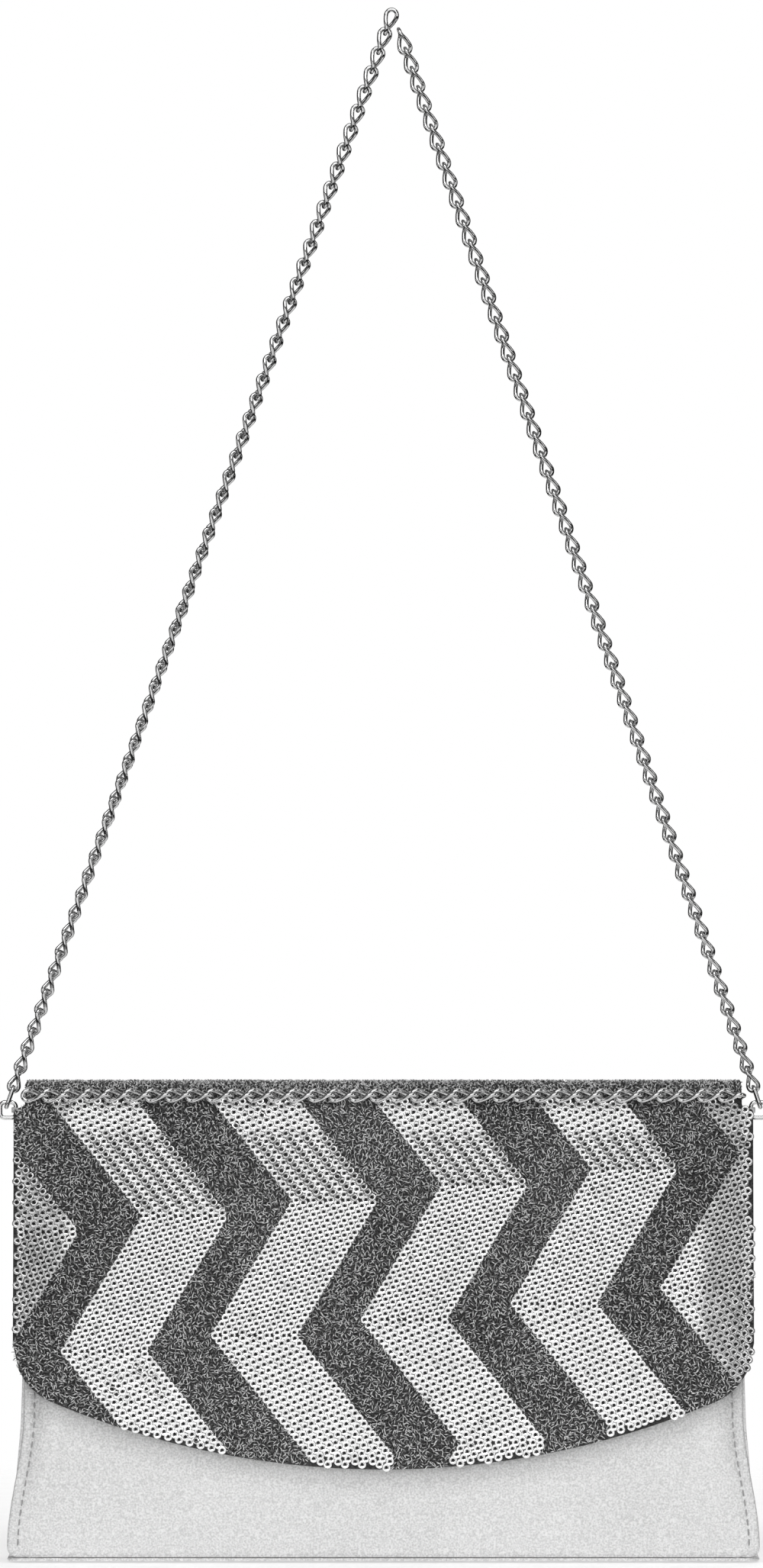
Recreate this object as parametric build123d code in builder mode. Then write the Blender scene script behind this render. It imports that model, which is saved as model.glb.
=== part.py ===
"""An evening bag: a wedge-shaped body of silver leather, a sequined flap, and a curb chain strap drawn up to a point.

Millimetres. The origin is the point where a hook lifts the strap, +Z is up and the front of the bag faces -Y. Both
side rings hang in the plane Y = 0. Heights called "height" are measured up from the underside of the base.
"""
from build123d import *
from math import acos, asin, atan2, cos, degrees, hypot, pi, radians, sin, sqrt, tan
import os

# ---- overall sizes ----
strap_drop = 372.2          # hook point down to the top of the fold
bag_height = 165.3          # base to the top of the fold
bag_shift = 3.3             # how far the bag's middle hangs to the left of the hook point
base_depth = 44.0           # front to back at the base
base_half = 130.2           # half the width at the base
body_shift = 2.4            # the body's middle sits this far behind the side rings, so that it hangs upright

# ---- walls ----
front_waist_in = 5.6        # how far the front wall's sides draw in at the waist, from the width at the base
front_top_in = 6.6
back_waist_in = 3.9
back_top_in = 4.6
waist_height = 50.0
corner_radius = 3.6
leather = 1.2
board = 1.0
cloth = 0.5
lining_space = 1.2          # between the front board and its lining, for the snap's washer
cap_gap = 0.3               # between the back wall's upper edge and the cap's stiffener
board_clearance = 10.0      # boards and facings stay this far inside the gussets at the top
facing_height = 18.0
facing_leather = 0.8
lining_foot = 5.0           # the linings start this far up their wall
mouth_drop = 4.95           # the fold's middle down to the front wall's upper edge
wall_gap = 0.2              # between the base panel and the foot of the moving front wall
back_foot_gap = 0.1         # the back wall leans, so its foot stands this far above the base panel
base_board = 1.5

# ---- gussets ----
flange = 4.0                # seam allowance that is turned out and sewn behind the wall's edge
gusset_leather = 0.9
gusset_cloth = 0.4
gusset_lining_gap = 1.2
gusset_ease = 0.02          # keeps the leaning gusset flanges clear of the back wall
gusset_gap = 0.3            # between the gusset and the wall that swings away from it
gusset_foot_gap = 0.4       # above the base panel
gusset_drop = 8.0           # the fold's middle down to the gusset's upper edge
gusset_waist_drop = 3.0     # the gusset's waist sits this far below the walls' waist
gusset_inset = 0.7          # the flange's edge stays this far inside the walls' edges
gusset_fold = (1.0, 9.0, 13.0)

# ---- fold over the top, and flap ----
fold_inner = 9.0            # radius of the fold's inner face
stiffener = 0.6
shell = 1.2
fold_in = 5.8               # how far the fold's ends lie inside the base's, so that it passes between the strap's legs
cap_end = 136.0             # degrees from the back, where the fixed part of the fold stops
flap_start = 143.0          # and where the swinging flap starts, with the trim chain over the gap
cap_tail = 22.0             # how far the cloth runs down the back
snap_stack = 3.4            # thickness of the closed snap, which is also the space behind the flap
flap_in = 1.9               # the flap's sides lie this far inside the base's ends
flap_edge_height = 32.0     # lowest point of the flap's curved edge
flap_edge_radius = 296.0
flap_corner_radius = 22.0
flap_step_drop = 8.0        # top of the fold down to where the flap is at its full width
flap_step_radius = 2.5
flap_open_max = 150.0
mouth_open_max = 12.0

# ---- chain ----
wire = 1.45
link_radius = 2.0
link_half = 2.55            # half the straight stretch between a link's two round ends
link_pitch = 7.1
trim_drop = 4.5             # top of the fold down to the trim chain's middle
trim_lift = 2.75            # shell to the trim chain's middle
trim_roll = 30.0
left_roll = (45.0, 115.0)   # how far each leg is turned about its length, at the hook and at the bag
right_roll = (-45.0, -65.0)

# ---- side rings, tabs and end links ----
ring_below_fold = 9.8       # top of the fold down to the middle of the side rings
ring_out = 0.3              # a ring's middle lies this far beyond the base's end
ring_half = 2.7             # half the height of the ring's wire loop
ring_corner = 1.6
tab_sleeve = 0.75           # leather round the ring's wire
tab_clearance = 0.1
tab_height = 2.0
tab_root_height = 16.0
tab_ease = 1.85             # the tab's tip only touches the gusset's slope
end_link_radius = 1.75
end_link_half = 2.0
contact_gap = 0.3

# ---- magnetic snap ----
snap_height = 58.0
snap_radius = 9.0
socket_thick = 2.3
stud_plate = 0.9
stud_radius = 2.4
stud_length = 1.6
stud_clearance = 0.25
magnet_thick = 1.2
rivet_radius = 1.3
washer_radius = 6.0
washer_thick = 0.4
snap_skin = 0.35

# ---- inside pockets ----
pocket_half = 60.0
pocket_foot = 42.0
pocket_rise = 68.0
pocket_space = 1.0
zip_drop = 37.0             # back wall's upper edge down to the middle of the zip
zip_half = 76.0
zip_slot = 3.7              # half the height of the slot in the lining
tape_width = 6.0
tooth_pitch = 2.5
tooth_wide = 1.5
tooth_high = 1.4
tooth_thick = 1.4
tooth_gap = 0.45            # half the gap between the two rows
slider_long = 9.0
slider_high = 6.2
slider_plate = 0.65
slider_clearance = 0.12
slider_neck = 0.6
bail_rise = 2.2
bail_wire = 0.9
pull_long = 22.0
pull_wide = 6.0
pull_thick = 0.8
bag_pocket_wall = 0.4
bag_pocket_thick = 2.0
bag_pocket_gap = 0.2        # between the back board and the zip pocket
bag_pocket_drop = 80.0


def lean_of(reach, rise):
    """The lean of a wall whose outer face passes at reach from the fold's middle, rise above the wall's foot."""
    return acos(reach / hypot(base_depth / 2, rise)) - atan2(rise, base_depth / 2)


# ---- worked out from the sizes above ----
middle = -bag_shift
base_z = -(strap_drop + bag_height)
fold_outer = fold_inner + cloth + stiffener + shell
fold_y = body_shift
fold_z = -strap_drop - fold_outer
foot_height = leather + wall_gap
fold_height = fold_z - base_z
front_waist_half = base_half - front_waist_in
front_top_half = base_half - front_top_in
back_waist_half = base_half - back_waist_in
back_top_half = base_half - back_top_in
fold_half = base_half - fold_in
flap_half = base_half - flap_in
ring_offset = base_half + ring_out
trim_links = int(2 * fold_half / link_pitch)
lining_set_in = leather + board + lining_space          # outer face of the wall to the lining's outer face
back_lining_set_in = leather + board + bag_pocket_gap + bag_pocket_thick + cloth
front_set = fold_inner - snap_stack     # fold's middle to the front wall's outer face
back_set = fold_inner + cloth + stiffener
back_foot = leather + back_foot_gap
front_lean = lean_of(front_set, fold_height - foot_height)
back_lean = lean_of(back_set, fold_height - back_foot)
front_y = body_shift - base_depth / 2
back_y = body_shift + base_depth / 2
back_wall_height = (fold_height - back_foot) / cos(back_lean) - cap_gap
front_wall_height = (fold_height - foot_height - mouth_drop) / cos(front_lean)
zip_height = back_wall_height - zip_drop
gusset_heights = (leather + gusset_foot_gap, waist_height - gusset_waist_drop, fold_height - gusset_drop)
gusset_edge_half = (base_half - gusset_inset, back_waist_half - gusset_inset, front_top_half - gusset_inset)
ring_z = -strap_drop - ring_below_fold
swing_z = ring_z + ring_half
trim_radius = fold_outer + trim_lift
trim_angle = pi - asin((fold_outer - trim_drop) / trim_radius)
trim_y = fold_y + trim_radius * cos(trim_angle)
trim_z = fold_z + trim_radius * sin(trim_angle)

front_plane = Plane(
    origin=(middle, front_y, base_z + foot_height), x_dir=(1, 0, 0), z_dir=(0, -cos(front_lean), sin(front_lean))
)
back_plane = Plane(
    origin=(middle, back_y, base_z + back_foot), x_dir=(-1, 0, 0), z_dir=(0, cos(back_lean), sin(back_lean))
)
side_plane = Plane.YZ.offset(middle)
face_plane = Plane(origin=(middle, 0, base_z), x_dir=(1, 0, 0), z_dir=(0, -1, 0))


def moved(plane, x, y):
    """The same plane with its origin moved within it."""
    return Plane(origin=plane.from_local_coords((x, y, 0)), x_dir=plane.x_dir, z_dir=plane.z_dir)


def finish(piece, name):
    """Labels a finished piece and writes it."""
    piece.part.label = name
    export_step(piece.part, f"parts/{name}.step")


def wall_face(waist_half, top_half, height):
    """A wall's face: rounded lower corners, sides that draw in to the waist, nearly straight above it."""
    with BuildLine() as outline:
        foot = Line((0, 0), (base_half - corner_radius, 0))
        corner = JernArc(start=foot @ 1, tangent=(1, 0), radius=corner_radius, arc_size=90)
        flare = Spline([corner @ 1, (waist_half, waist_height)], tangents=[(0, 1), (0, 1)])
        side = Line(flare @ 1, (top_half, height))
        Line(side @ 1, (0, height))
        mirror(about=Plane.YZ)
    make_face(outline.edges())


def upright_face(foot_half, top_half, foot, top):
    """A plain face with straight sides, from one height up the wall to another."""
    with BuildLine() as outline:
        Polyline((-foot_half, foot), (foot_half, foot), (top_half, top), (-top_half, top), close=True)
    make_face(outline.edges())


def fold_band(near, far, start, end, back_run=0.0, front_run=0.0):
    """Section of one layer of the fold, between two distances from the fold's inner face.

    start and end are degrees about the fold's middle, counted from the back. The layer goes on straight from either
    end by its run.
    """
    def spot(radius, angle, run, way):
        along = (way * -sin(angle) * run, way * cos(angle) * run)
        return (fold_y + radius * cos(angle) + along[0], fold_z + radius * sin(angle) + along[1])

    first, last = radians(start), radians(end)
    rims = []
    with BuildLine() as outline:
        for radius in (fold_inner + near, fold_inner + far):
            CenterArc((fold_y, fold_z), radius, start, end - start)
            tail = spot(radius, first, back_run, -1)
            tip = spot(radius, last, front_run, 1)
            if back_run:
                Line(spot(radius, first, 0, 1), tail)
            if front_run:
                Line(spot(radius, last, 0, 1), tip)
            rims.append((tail, tip))
        Line(rims[0][0], rims[1][0])
        Line(rims[0][1], rims[1][1])
    make_face(outline.edges())


def gusset_walls(level):
    """Where a gusset's front and back flanges lie against the two walls, at one height."""
    front = front_y + leather / cos(front_lean) + (level - foot_height) * tan(front_lean) + gusset_gap
    back = back_y - leather / cos(back_lean) - (level - back_foot) * tan(back_lean) - gusset_ease
    return front, back


def gusset_section(level, edge, fold, thick, turned, inset):
    """A gusset's section at one height, for the right-hand side: turned-out flanges and a fold that points inwards."""
    front, back = gusset_walls(level)
    crease = (front + back) / 2
    outer = edge - turned - inset
    inner = outer - thick
    points = [(inner, front), (outer - fold - 1.5 * thick, crease), (inner, back)]
    if turned:
        points += [(edge - inset, back), (edge - inset, back - thick)]
    points += [(outer, back - thick), (outer - fold, crease), (outer, front + thick)]
    if turned:
        points += [(edge - inset, front + thick), (edge - inset, front)]
    with BuildLine() as outline:
        Polyline(*points, close=True)
    make_face(outline.edges())


def gusset_reach(level):
    """Distance from the bag's middle to the gusset's outer face in the plane of the side rings, at one height."""
    share = (level - gusset_heights[1]) / (gusset_heights[2] - gusset_heights[1])
    edge = gusset_edge_half[1] + (gusset_edge_half[2] - gusset_edge_half[1]) * share
    fold = gusset_fold[1] + (gusset_fold[2] - gusset_fold[1]) * share
    front, back = gusset_walls(level)
    crease = (front + back) / 2
    return edge - flange - fold * (1 - abs(crease) / (crease - front - gusset_leather))


def snap_disc(radius, foot, thick, hole=0.0):
    """A round layer of the snap, square to the front wall, foot measured outwards from the wall's outer face."""
    with BuildSketch(snap_plane.offset(foot)) as disc:
        Circle(radius)
        if hole:
            Circle(hole, mode=Mode.SUBTRACT)
    extrude(disc.sketch, amount=thick)


def chain_link():
    """One curb link about the origin, its length on Z, its round ends a quarter turn apart."""
    eighth = pi / 4
    flat = [(link_radius * cos(k * eighth), link_half + link_radius * sin(k * eighth)) for k in range(5)]
    flat.append((-link_radius, 0.0))
    flat += [(-u, -z) for u, z in flat[:5]]
    flat.append((link_radius, 0.0))
    points = []
    for u, z in flat:
        twist = -eighth * max(-1.0, min(1.0, z / link_half))
        points.append(Vector(u * cos(twist), u * sin(twist), z))
    radii = []
    for k, point in enumerate(points):
        before = points[k - 1] - point
        after = points[(k + 1) % len(points)] - point
        turn = radians(180 - before.get_angle(after))
        radii.append(0.49 * min(before.length, after.length) / tan(turn / 2))
    with BuildLine() as path:
        FilletPolyline(*points, radius=radii, close=True)
    edges = list(path.wires()[0].order_edges())
    with BuildPart() as link:
        for half in (Wire(edges[:12]), Wire(edges[12:])):
            with BuildSketch(Plane(origin=half @ 0, z_dir=half % 0)):
                Circle(wire / 2)
            sweep(path=half)
    return link.part.solids()[0]


def loop_of_wire(plane, half_wide, half_high, corner):
    """A closed loop of chain wire, a rounded rectangle on the given plane."""
    with BuildLine(plane) as path:
        right = Line((half_wide, corner - half_high), (half_wide, half_high - corner))
        bend = JernArc(start=right @ 1, tangent=right % 1, radius=corner, arc_size=90)
        if half_wide > corner:
            top = Line(bend @ 1, bend @ 1 - plane.x_dir * 2 * (half_wide - corner))
            bend = JernArc(start=top @ 1, tangent=top % 1, radius=corner, arc_size=90)
        else:
            bend = JernArc(start=bend @ 1, tangent=bend % 1, radius=corner, arc_size=90)
        left = Line(bend @ 1, bend @ 1 - plane.y_dir * 2 * (half_high - corner))
    upper = path.wires()[0]
    with BuildSketch(Plane(origin=upper @ 0, z_dir=upper % 0)) as section:
        Circle(wire / 2)
    sweep(section.sketch, path=upper)
    with BuildLine(plane) as path:
        bend = JernArc(start=left @ 1, tangent=left % 1, radius=corner, arc_size=90)
        if half_wide > corner:
            foot = Line(bend @ 1, bend @ 1 + plane.x_dir * 2 * (half_wide - corner))
            bend = JernArc(start=foot @ 1, tangent=foot % 1, radius=corner, arc_size=90)
        else:
            bend = JernArc(start=bend @ 1, tangent=bend % 1, radius=corner, arc_size=90)
    lower = path.wires()[0]
    with BuildSketch(Plane(origin=lower @ 0, z_dir=lower % 0)) as section:
        Circle(wire / 2)
    sweep(section.sketch, path=lower)


os.makedirs("parts", exist_ok=True)

# ---- base ----
with BuildPart() as base_panel:
    with BuildSketch(Plane(origin=(middle, body_shift, base_z))):
        RectangleRounded(2 * base_half, base_depth, corner_radius)
    extrude(amount=leather)
finish(base_panel, "base_panel")

base_board_half = gusset_edge_half[0] - flange - gusset_fold[0] - 4 * gusset_leather
base_board_depth = base_depth - 2 * lining_set_in - 4.0
with BuildPart() as base_stiffener:
    with BuildSketch(Plane(origin=(middle, body_shift, base_z + leather))):
        RectangleRounded(2 * base_board_half, base_board_depth, corner_radius)
    extrude(amount=base_board)
finish(base_stiffener, "base_board")

with BuildPart() as base_lining:
    with BuildSketch(Plane(origin=(middle, body_shift, base_z + leather + base_board))):
        RectangleRounded(2 * base_board_half, base_board_depth, corner_radius)
    extrude(amount=cloth)
finish(base_lining, "base_lining")

# ---- front wall ----
snap_up = (snap_height - foot_height) / cos(front_lean)
snap_plane = moved(front_plane, 0, snap_up)
front_board_top = front_wall_height - 1.0
board_foot_half = base_board_half - 2.0
board_top_half = gusset_edge_half[2] - flange - gusset_leather - board_clearance

with BuildPart() as front_panel:
    with BuildSketch(front_plane):
        wall_face(front_waist_half, front_top_half, front_wall_height)
    extrude(amount=-leather)
    with BuildSketch(snap_plane):
        Circle(rivet_radius)
    extrude(amount=-leather, mode=Mode.SUBTRACT)
finish(front_panel, "front_panel")

with BuildPart() as front_board:
    with BuildSketch(front_plane.offset(-leather)):
        upright_face(board_foot_half, board_top_half, lining_foot, front_board_top)
    extrude(amount=-board)
    with BuildSketch(snap_plane.offset(-leather)):
        Circle(rivet_radius)
    extrude(amount=-board, mode=Mode.SUBTRACT)
finish(front_board, "front_board")

lining_top = front_wall_height - facing_height
with BuildPart() as front_lining:
    with BuildSketch(front_plane.offset(-lining_set_in)):
        upright_face(board_foot_half, board_top_half, lining_foot, lining_top)
    extrude(amount=-cloth)
finish(front_lining, "front_lining")

with BuildPart() as front_facing:
    with BuildSketch(front_plane.offset(-leather - board)):
        upright_face(board_top_half, board_top_half, lining_top, front_wall_height)
    extrude(amount=-(lining_set_in - leather - board + facing_leather - cloth))
finish(front_facing, "front_facing")

with BuildPart() as slip_pocket:
    pocket_plane = front_plane.offset(-lining_set_in - cloth)
    with BuildSketch(pocket_plane):
        upright_face(pocket_half, pocket_half, pocket_foot, pocket_foot + pocket_rise)
    extrude(amount=-(pocket_space + cloth))
    with BuildSketch(pocket_plane):
        upright_face(
            pocket_half - 2 * cloth, pocket_half - 2 * cloth, pocket_foot + 2 * cloth, pocket_foot + pocket_rise
        )
    extrude(amount=-pocket_space, mode=Mode.SUBTRACT)
finish(slip_pocket, "slip_pocket")

# ---- snap half on the front wall ----
magnet_hole = stud_radius + stud_clearance + snap_skin
magnet_foot = snap_skin
rivet_reach = leather + board + washer_thick
with BuildPart() as snap_socket:
    snap_disc(snap_radius, 0, socket_thick)
    snap_axis = Axis(snap_plane.origin, snap_plane.z_dir)
    fillet(snap_socket.edges().filter_by(GeomType.CIRCLE).group_by(snap_axis)[-1], 0.3)
    with BuildSketch(snap_plane.offset(magnet_foot)):
        Circle(snap_radius - snap_skin)
        Circle(magnet_hole, mode=Mode.SUBTRACT)
    extrude(amount=magnet_thick, mode=Mode.SUBTRACT)
    with BuildSketch(snap_plane.offset(snap_skin)):
        Circle(stud_radius + stud_clearance)
    extrude(amount=socket_thick, mode=Mode.SUBTRACT)
    with BuildSketch(snap_plane):
        Circle(rivet_radius)
    extrude(amount=-rivet_reach)
finish(snap_socket, "snap_socket")

with BuildPart() as snap_magnet:
    snap_disc(snap_radius - snap_skin, magnet_foot, magnet_thick, hole=magnet_hole)
finish(snap_magnet, "snap_magnet")

with BuildPart() as snap_socket_washer:
    snap_disc(washer_radius, -rivet_reach, washer_thick, hole=rivet_radius)
finish(snap_socket_washer, "snap_socket_washer")

# ---- back wall ----
with BuildPart() as back_panel:
    with BuildSketch(back_plane):
        wall_face(back_waist_half, back_top_half, back_wall_height)
    extrude(amount=-leather)
finish(back_panel, "back_panel")

with BuildPart() as back_board:
    with BuildSketch(back_plane.offset(-leather)):
        upright_face(board_foot_half, board_top_half, lining_foot, back_wall_height - 1.0)
    extrude(amount=-board)
finish(back_board, "back_board")

zip_plane = moved(back_plane, 0, zip_height)
with BuildPart() as back_lining:
    with BuildSketch(back_plane.offset(-back_lining_set_in)):
        upright_face(board_foot_half, board_top_half, lining_foot, back_wall_height - facing_height)
    extrude(amount=-cloth)
    with BuildSketch(zip_plane.offset(-back_lining_set_in)):
        Rectangle(2 * zip_half, 2 * zip_slot)
    extrude(amount=-cloth, mode=Mode.SUBTRACT)
finish(back_lining, "back_lining")

with BuildPart() as back_facing:
    with BuildSketch(back_plane.offset(-leather - board)):
        upright_face(board_top_half, board_top_half, back_wall_height - facing_height, back_wall_height - 1.0)
    extrude(amount=-(back_lining_set_in - leather - board + facing_leather - cloth))
finish(back_facing, "back_facing")

# ---- zip pocket in the back wall ----
tape_face = back_lining_set_in - cloth      # depth of the tapes' outer face, against the lining
pocket_depth = tape_face - bag_pocket_thick
with BuildPart() as zip_pocket:
    with BuildSketch(zip_plane.offset(-pocket_depth)):
        with Locations((0, -bag_pocket_drop / 2 + tape_width + zip_slot)):
            Rectangle(2 * zip_half + 8, bag_pocket_drop)
    extrude(amount=-bag_pocket_thick)
    with BuildSketch(zip_plane.offset(-pocket_depth - bag_pocket_wall)):
        with Locations((0, -bag_pocket_drop / 2 + tape_width + zip_slot)):
            Rectangle(2 * zip_half + 6, bag_pocket_drop - 2)
    extrude(amount=-(bag_pocket_thick - 2 * bag_pocket_wall), mode=Mode.SUBTRACT)
    with BuildSketch(zip_plane.offset(-pocket_depth - bag_pocket_thick)):
        Rectangle(2 * zip_half, 2 * zip_slot)
    extrude(amount=bag_pocket_wall, mode=Mode.SUBTRACT)
finish(zip_pocket, "zip_pocket")

tooth_middle = tape_face + cloth / 2
tooth_count = int((2 * zip_half - 4 * tooth_wide) / tooth_pitch)
for side, word in ((1, "upper"), (-1, "lower")):
    with BuildPart() as zip_tape:
        with BuildSketch(zip_plane.offset(-tape_face)):
            with Locations((0, side * (tooth_gap + tooth_high + tape_width / 2))):
                Rectangle(2 * zip_half, tape_width)
        extrude(amount=-cloth)
    finish(zip_tape, f"zip_tape_{word}")
    with BuildPart() as zip_teeth:
        with BuildSketch(zip_plane.offset(-tooth_middle + tooth_thick / 2)):
            with GridLocations(tooth_pitch, 0, tooth_count, 1):
                with Locations(Location((side * tooth_pitch / 4, side * (tooth_gap + tooth_high / 2), 0))):
                    Rectangle(tooth_wide, tooth_high)
        extrude(amount=-tooth_thick)
    finish(zip_teeth, f"zip_teeth_{word}")

with BuildPart() as zip_stops:
    with BuildSketch(zip_plane.offset(-tooth_middle + tooth_thick / 2)):
        with GridLocations(2 * zip_half - tooth_wide, 0, 2, 1):
            Rectangle(tooth_wide, 2 * (tooth_gap + tooth_high) - 0.02)
    extrude(amount=-tooth_thick)
finish(zip_stops, "zip_stops")

slider_travel = 2 * zip_half - slider_long - 4 * tooth_wide
slider_spot = -(slider_travel / 2)          # the wall's own x runs to the bag's left
plate_in = tooth_middle + tooth_thick / 2 + slider_clearance
plate_out = tooth_middle - tooth_thick / 2 - slider_clearance
slider_plane = moved(zip_plane, slider_spot, 0)
bail = slider_plane.from_local_coords((0, 0, -plate_in - slider_plate - bail_rise + bail_wire / 2))
with BuildPart() as zip_slider:
    for depth in (plate_in, plate_out - slider_plate):
        with BuildSketch(slider_plane.offset(-depth)):
            RectangleRounded(slider_long, slider_high, 1.4)
        extrude(amount=-slider_plate)
    with BuildSketch(slider_plane.offset(-plate_out)):
        Rectangle(slider_long * 0.4, slider_neck)
    extrude(amount=-(plate_in - plate_out))
    with BuildSketch(slider_plane.offset(-plate_in - slider_plate)):
        with GridLocations(slider_long - 2.4, 0, 2, 1):
            Rectangle(bail_wire, bail_wire)
    extrude(amount=-(bail_rise - bail_wire / 2))
    with BuildSketch(Plane(origin=bail, z_dir=(1, 0, 0))):
        Circle(bail_wire / 2)
    extrude(amount=slider_long / 2 - 1.2 + bail_wire / 2, both=True)
finish(zip_slider, "zip_slider")

pull_eye = bail_wire / 2 + 0.2
with BuildPart() as zip_pull:
    with BuildSketch(Plane(origin=bail, z_dir=(1, 0, 0))):
        Circle(pull_eye + pull_thick)
        Circle(pull_eye, mode=Mode.SUBTRACT)
    extrude(amount=pull_wide / 4, both=True)
    with BuildSketch(Plane(origin=bail, x_dir=(1, 0, 0), z_dir=(0, -1, 0))):
        with Locations((0, -pull_eye - pull_long / 2)):
            RectangleRounded(pull_wide, pull_long, 1.5)
        with Locations((0, -pull_long)):
            Circle(1.4, mode=Mode.SUBTRACT)
    extrude(amount=pull_thick / 2, both=True)
finish(zip_pull, "zip_pull")

# ---- gussets ----
for side, word in ((-1, "left"), (1, "right")):
    for name, thick, turned, inset in (
        (f"{word}_gusset", gusset_leather, flange, 0.0),
        (f"{word}_gusset_lining", gusset_cloth, 0.0, flange + gusset_leather + gusset_lining_gap),
    ):
        with BuildPart() as gusset:
            for level, edge, fold in zip(gusset_heights, gusset_edge_half, gusset_fold):
                with BuildSketch(Plane(origin=(middle, 0, base_z + level))):
                    gusset_section(level, edge, fold, thick, turned, inset)
                    if side < 0:
                        mirror(about=Plane.YZ, mode=Mode.REPLACE)
            loft(ruled=True)
        finish(gusset, name)

# ---- cap: the fixed part of the fold ----
back_start = degrees(back_lean)
with BuildPart() as cap_shell:
    with BuildSketch(side_plane):
        fold_band(cloth + stiffener, fold_outer - fold_inner, back_start, cap_end, back_run=cap_tail)
    extrude(amount=fold_half, both=True)
finish(cap_shell, "cap_shell")

with BuildPart() as cap_stiffener:
    with BuildSketch(side_plane):
        fold_band(cloth, cloth + stiffener, back_start, cap_end)
    extrude(amount=fold_half - 2.0, both=True)
finish(cap_stiffener, "cap_stiffener")

with BuildPart() as cap_lining:
    with BuildSketch(side_plane):
        fold_band(0, cloth, back_start, cap_end)
    extrude(amount=fold_half - 1.0, both=True)
finish(cap_lining, "cap_lining")

# ---- flap ----
front_end = 180.0 - degrees(front_lean)
flap_run = (fold_height - flap_edge_height) / cos(front_lean) + 4.0
flap_top = bag_height + 2.0
step_height = bag_height - flap_step_drop


def flap_outline(inset, lift):
    """The flap as seen from the front, drawn in by inset at the sides and lift along its curved edge."""
    half = flap_half - inset
    radius = flap_edge_radius - lift
    edge_middle = flap_edge_height + flap_edge_radius
    side_foot = edge_middle - sqrt(radius ** 2 - half ** 2)
    with BuildLine() as outline:
        arc = ThreePointArc((-half, side_foot), (0, edge_middle - radius), (half, side_foot))
        Polyline(
            arc @ 1, (half, step_height), (fold_half - inset, step_height + 2 * flap_step_radius),
            (fold_half - inset, flap_top), (inset - fold_half, flap_top),
            (inset - fold_half, step_height + 2 * flap_step_radius), (-half, step_height), arc @ 0,
        )
    make_face(outline.edges())


for name, near, far, inset in (
    ("flap_lining", 0.0, cloth, 1.5),
    ("flap_stiffener", cloth, cloth + stiffener, 2.5),
    ("flap_shell", cloth + stiffener, fold_outer - fold_inner, 0.0),
):
    with BuildPart() as layer:
        with BuildSketch(side_plane):
            fold_band(near, far, flap_start, front_end, front_run=flap_run)
        extrude(amount=flap_half, both=True)
        with BuildSketch(face_plane) as front_view:
            flap_outline(inset, inset)
            fillet(front_view.vertices().group_by(Axis.Y)[0], flap_corner_radius)
            fillet(front_view.vertices().sort_by(Axis.Y)[4:6], flap_step_radius)
        extrude(amount=base_depth, both=True, mode=Mode.INTERSECT)
        if name == "flap_shell":
            with BuildSketch(snap_plane.offset(snap_stack + cloth + stiffener - 0.3)):
                Circle(washer_radius + 0.3)
            extrude(amount=washer_thick + 0.5, mode=Mode.SUBTRACT)
        else:
            with BuildSketch(snap_plane.offset(snap_stack - 1)):
                Circle(rivet_radius)
            extrude(amount=cloth + stiffener + 2, mode=Mode.SUBTRACT)
    finish(layer, name)

with BuildPart() as snap_stud:
    snap_disc(snap_radius, snap_stack - stud_plate, stud_plate)
    snap_disc(stud_radius, snap_stack - stud_plate - stud_length, stud_length)
    snap_disc(rivet_radius, snap_stack, cloth + stiffener + washer_thick)
finish(snap_stud, "snap_stud")

with BuildPart() as snap_stud_washer:
    snap_disc(washer_radius, snap_stack + cloth + stiffener, washer_thick, hole=rivet_radius)
finish(snap_stud_washer, "snap_stud_washer")

# ---- chains ----
link = chain_link()
trim_out = Vector(0, cos(trim_angle), sin(trim_angle))
with BuildPart() as trim_chain:
    trim_places = []
    for k in range(trim_links):
        spot = (middle + (k - (trim_links - 1) / 2) * link_pitch, trim_y, trim_z)
        frame = Plane(origin=spot, x_dir=trim_out.cross(Vector(1, 0, 0)), z_dir=(-1, 0, 0))
        trim_places.append(frame.location * Location((0, 0, 0), (0, 0, trim_roll)))
    with Locations(*trim_places):
        add(link)
finish(trim_chain, "trim_chain")

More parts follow.
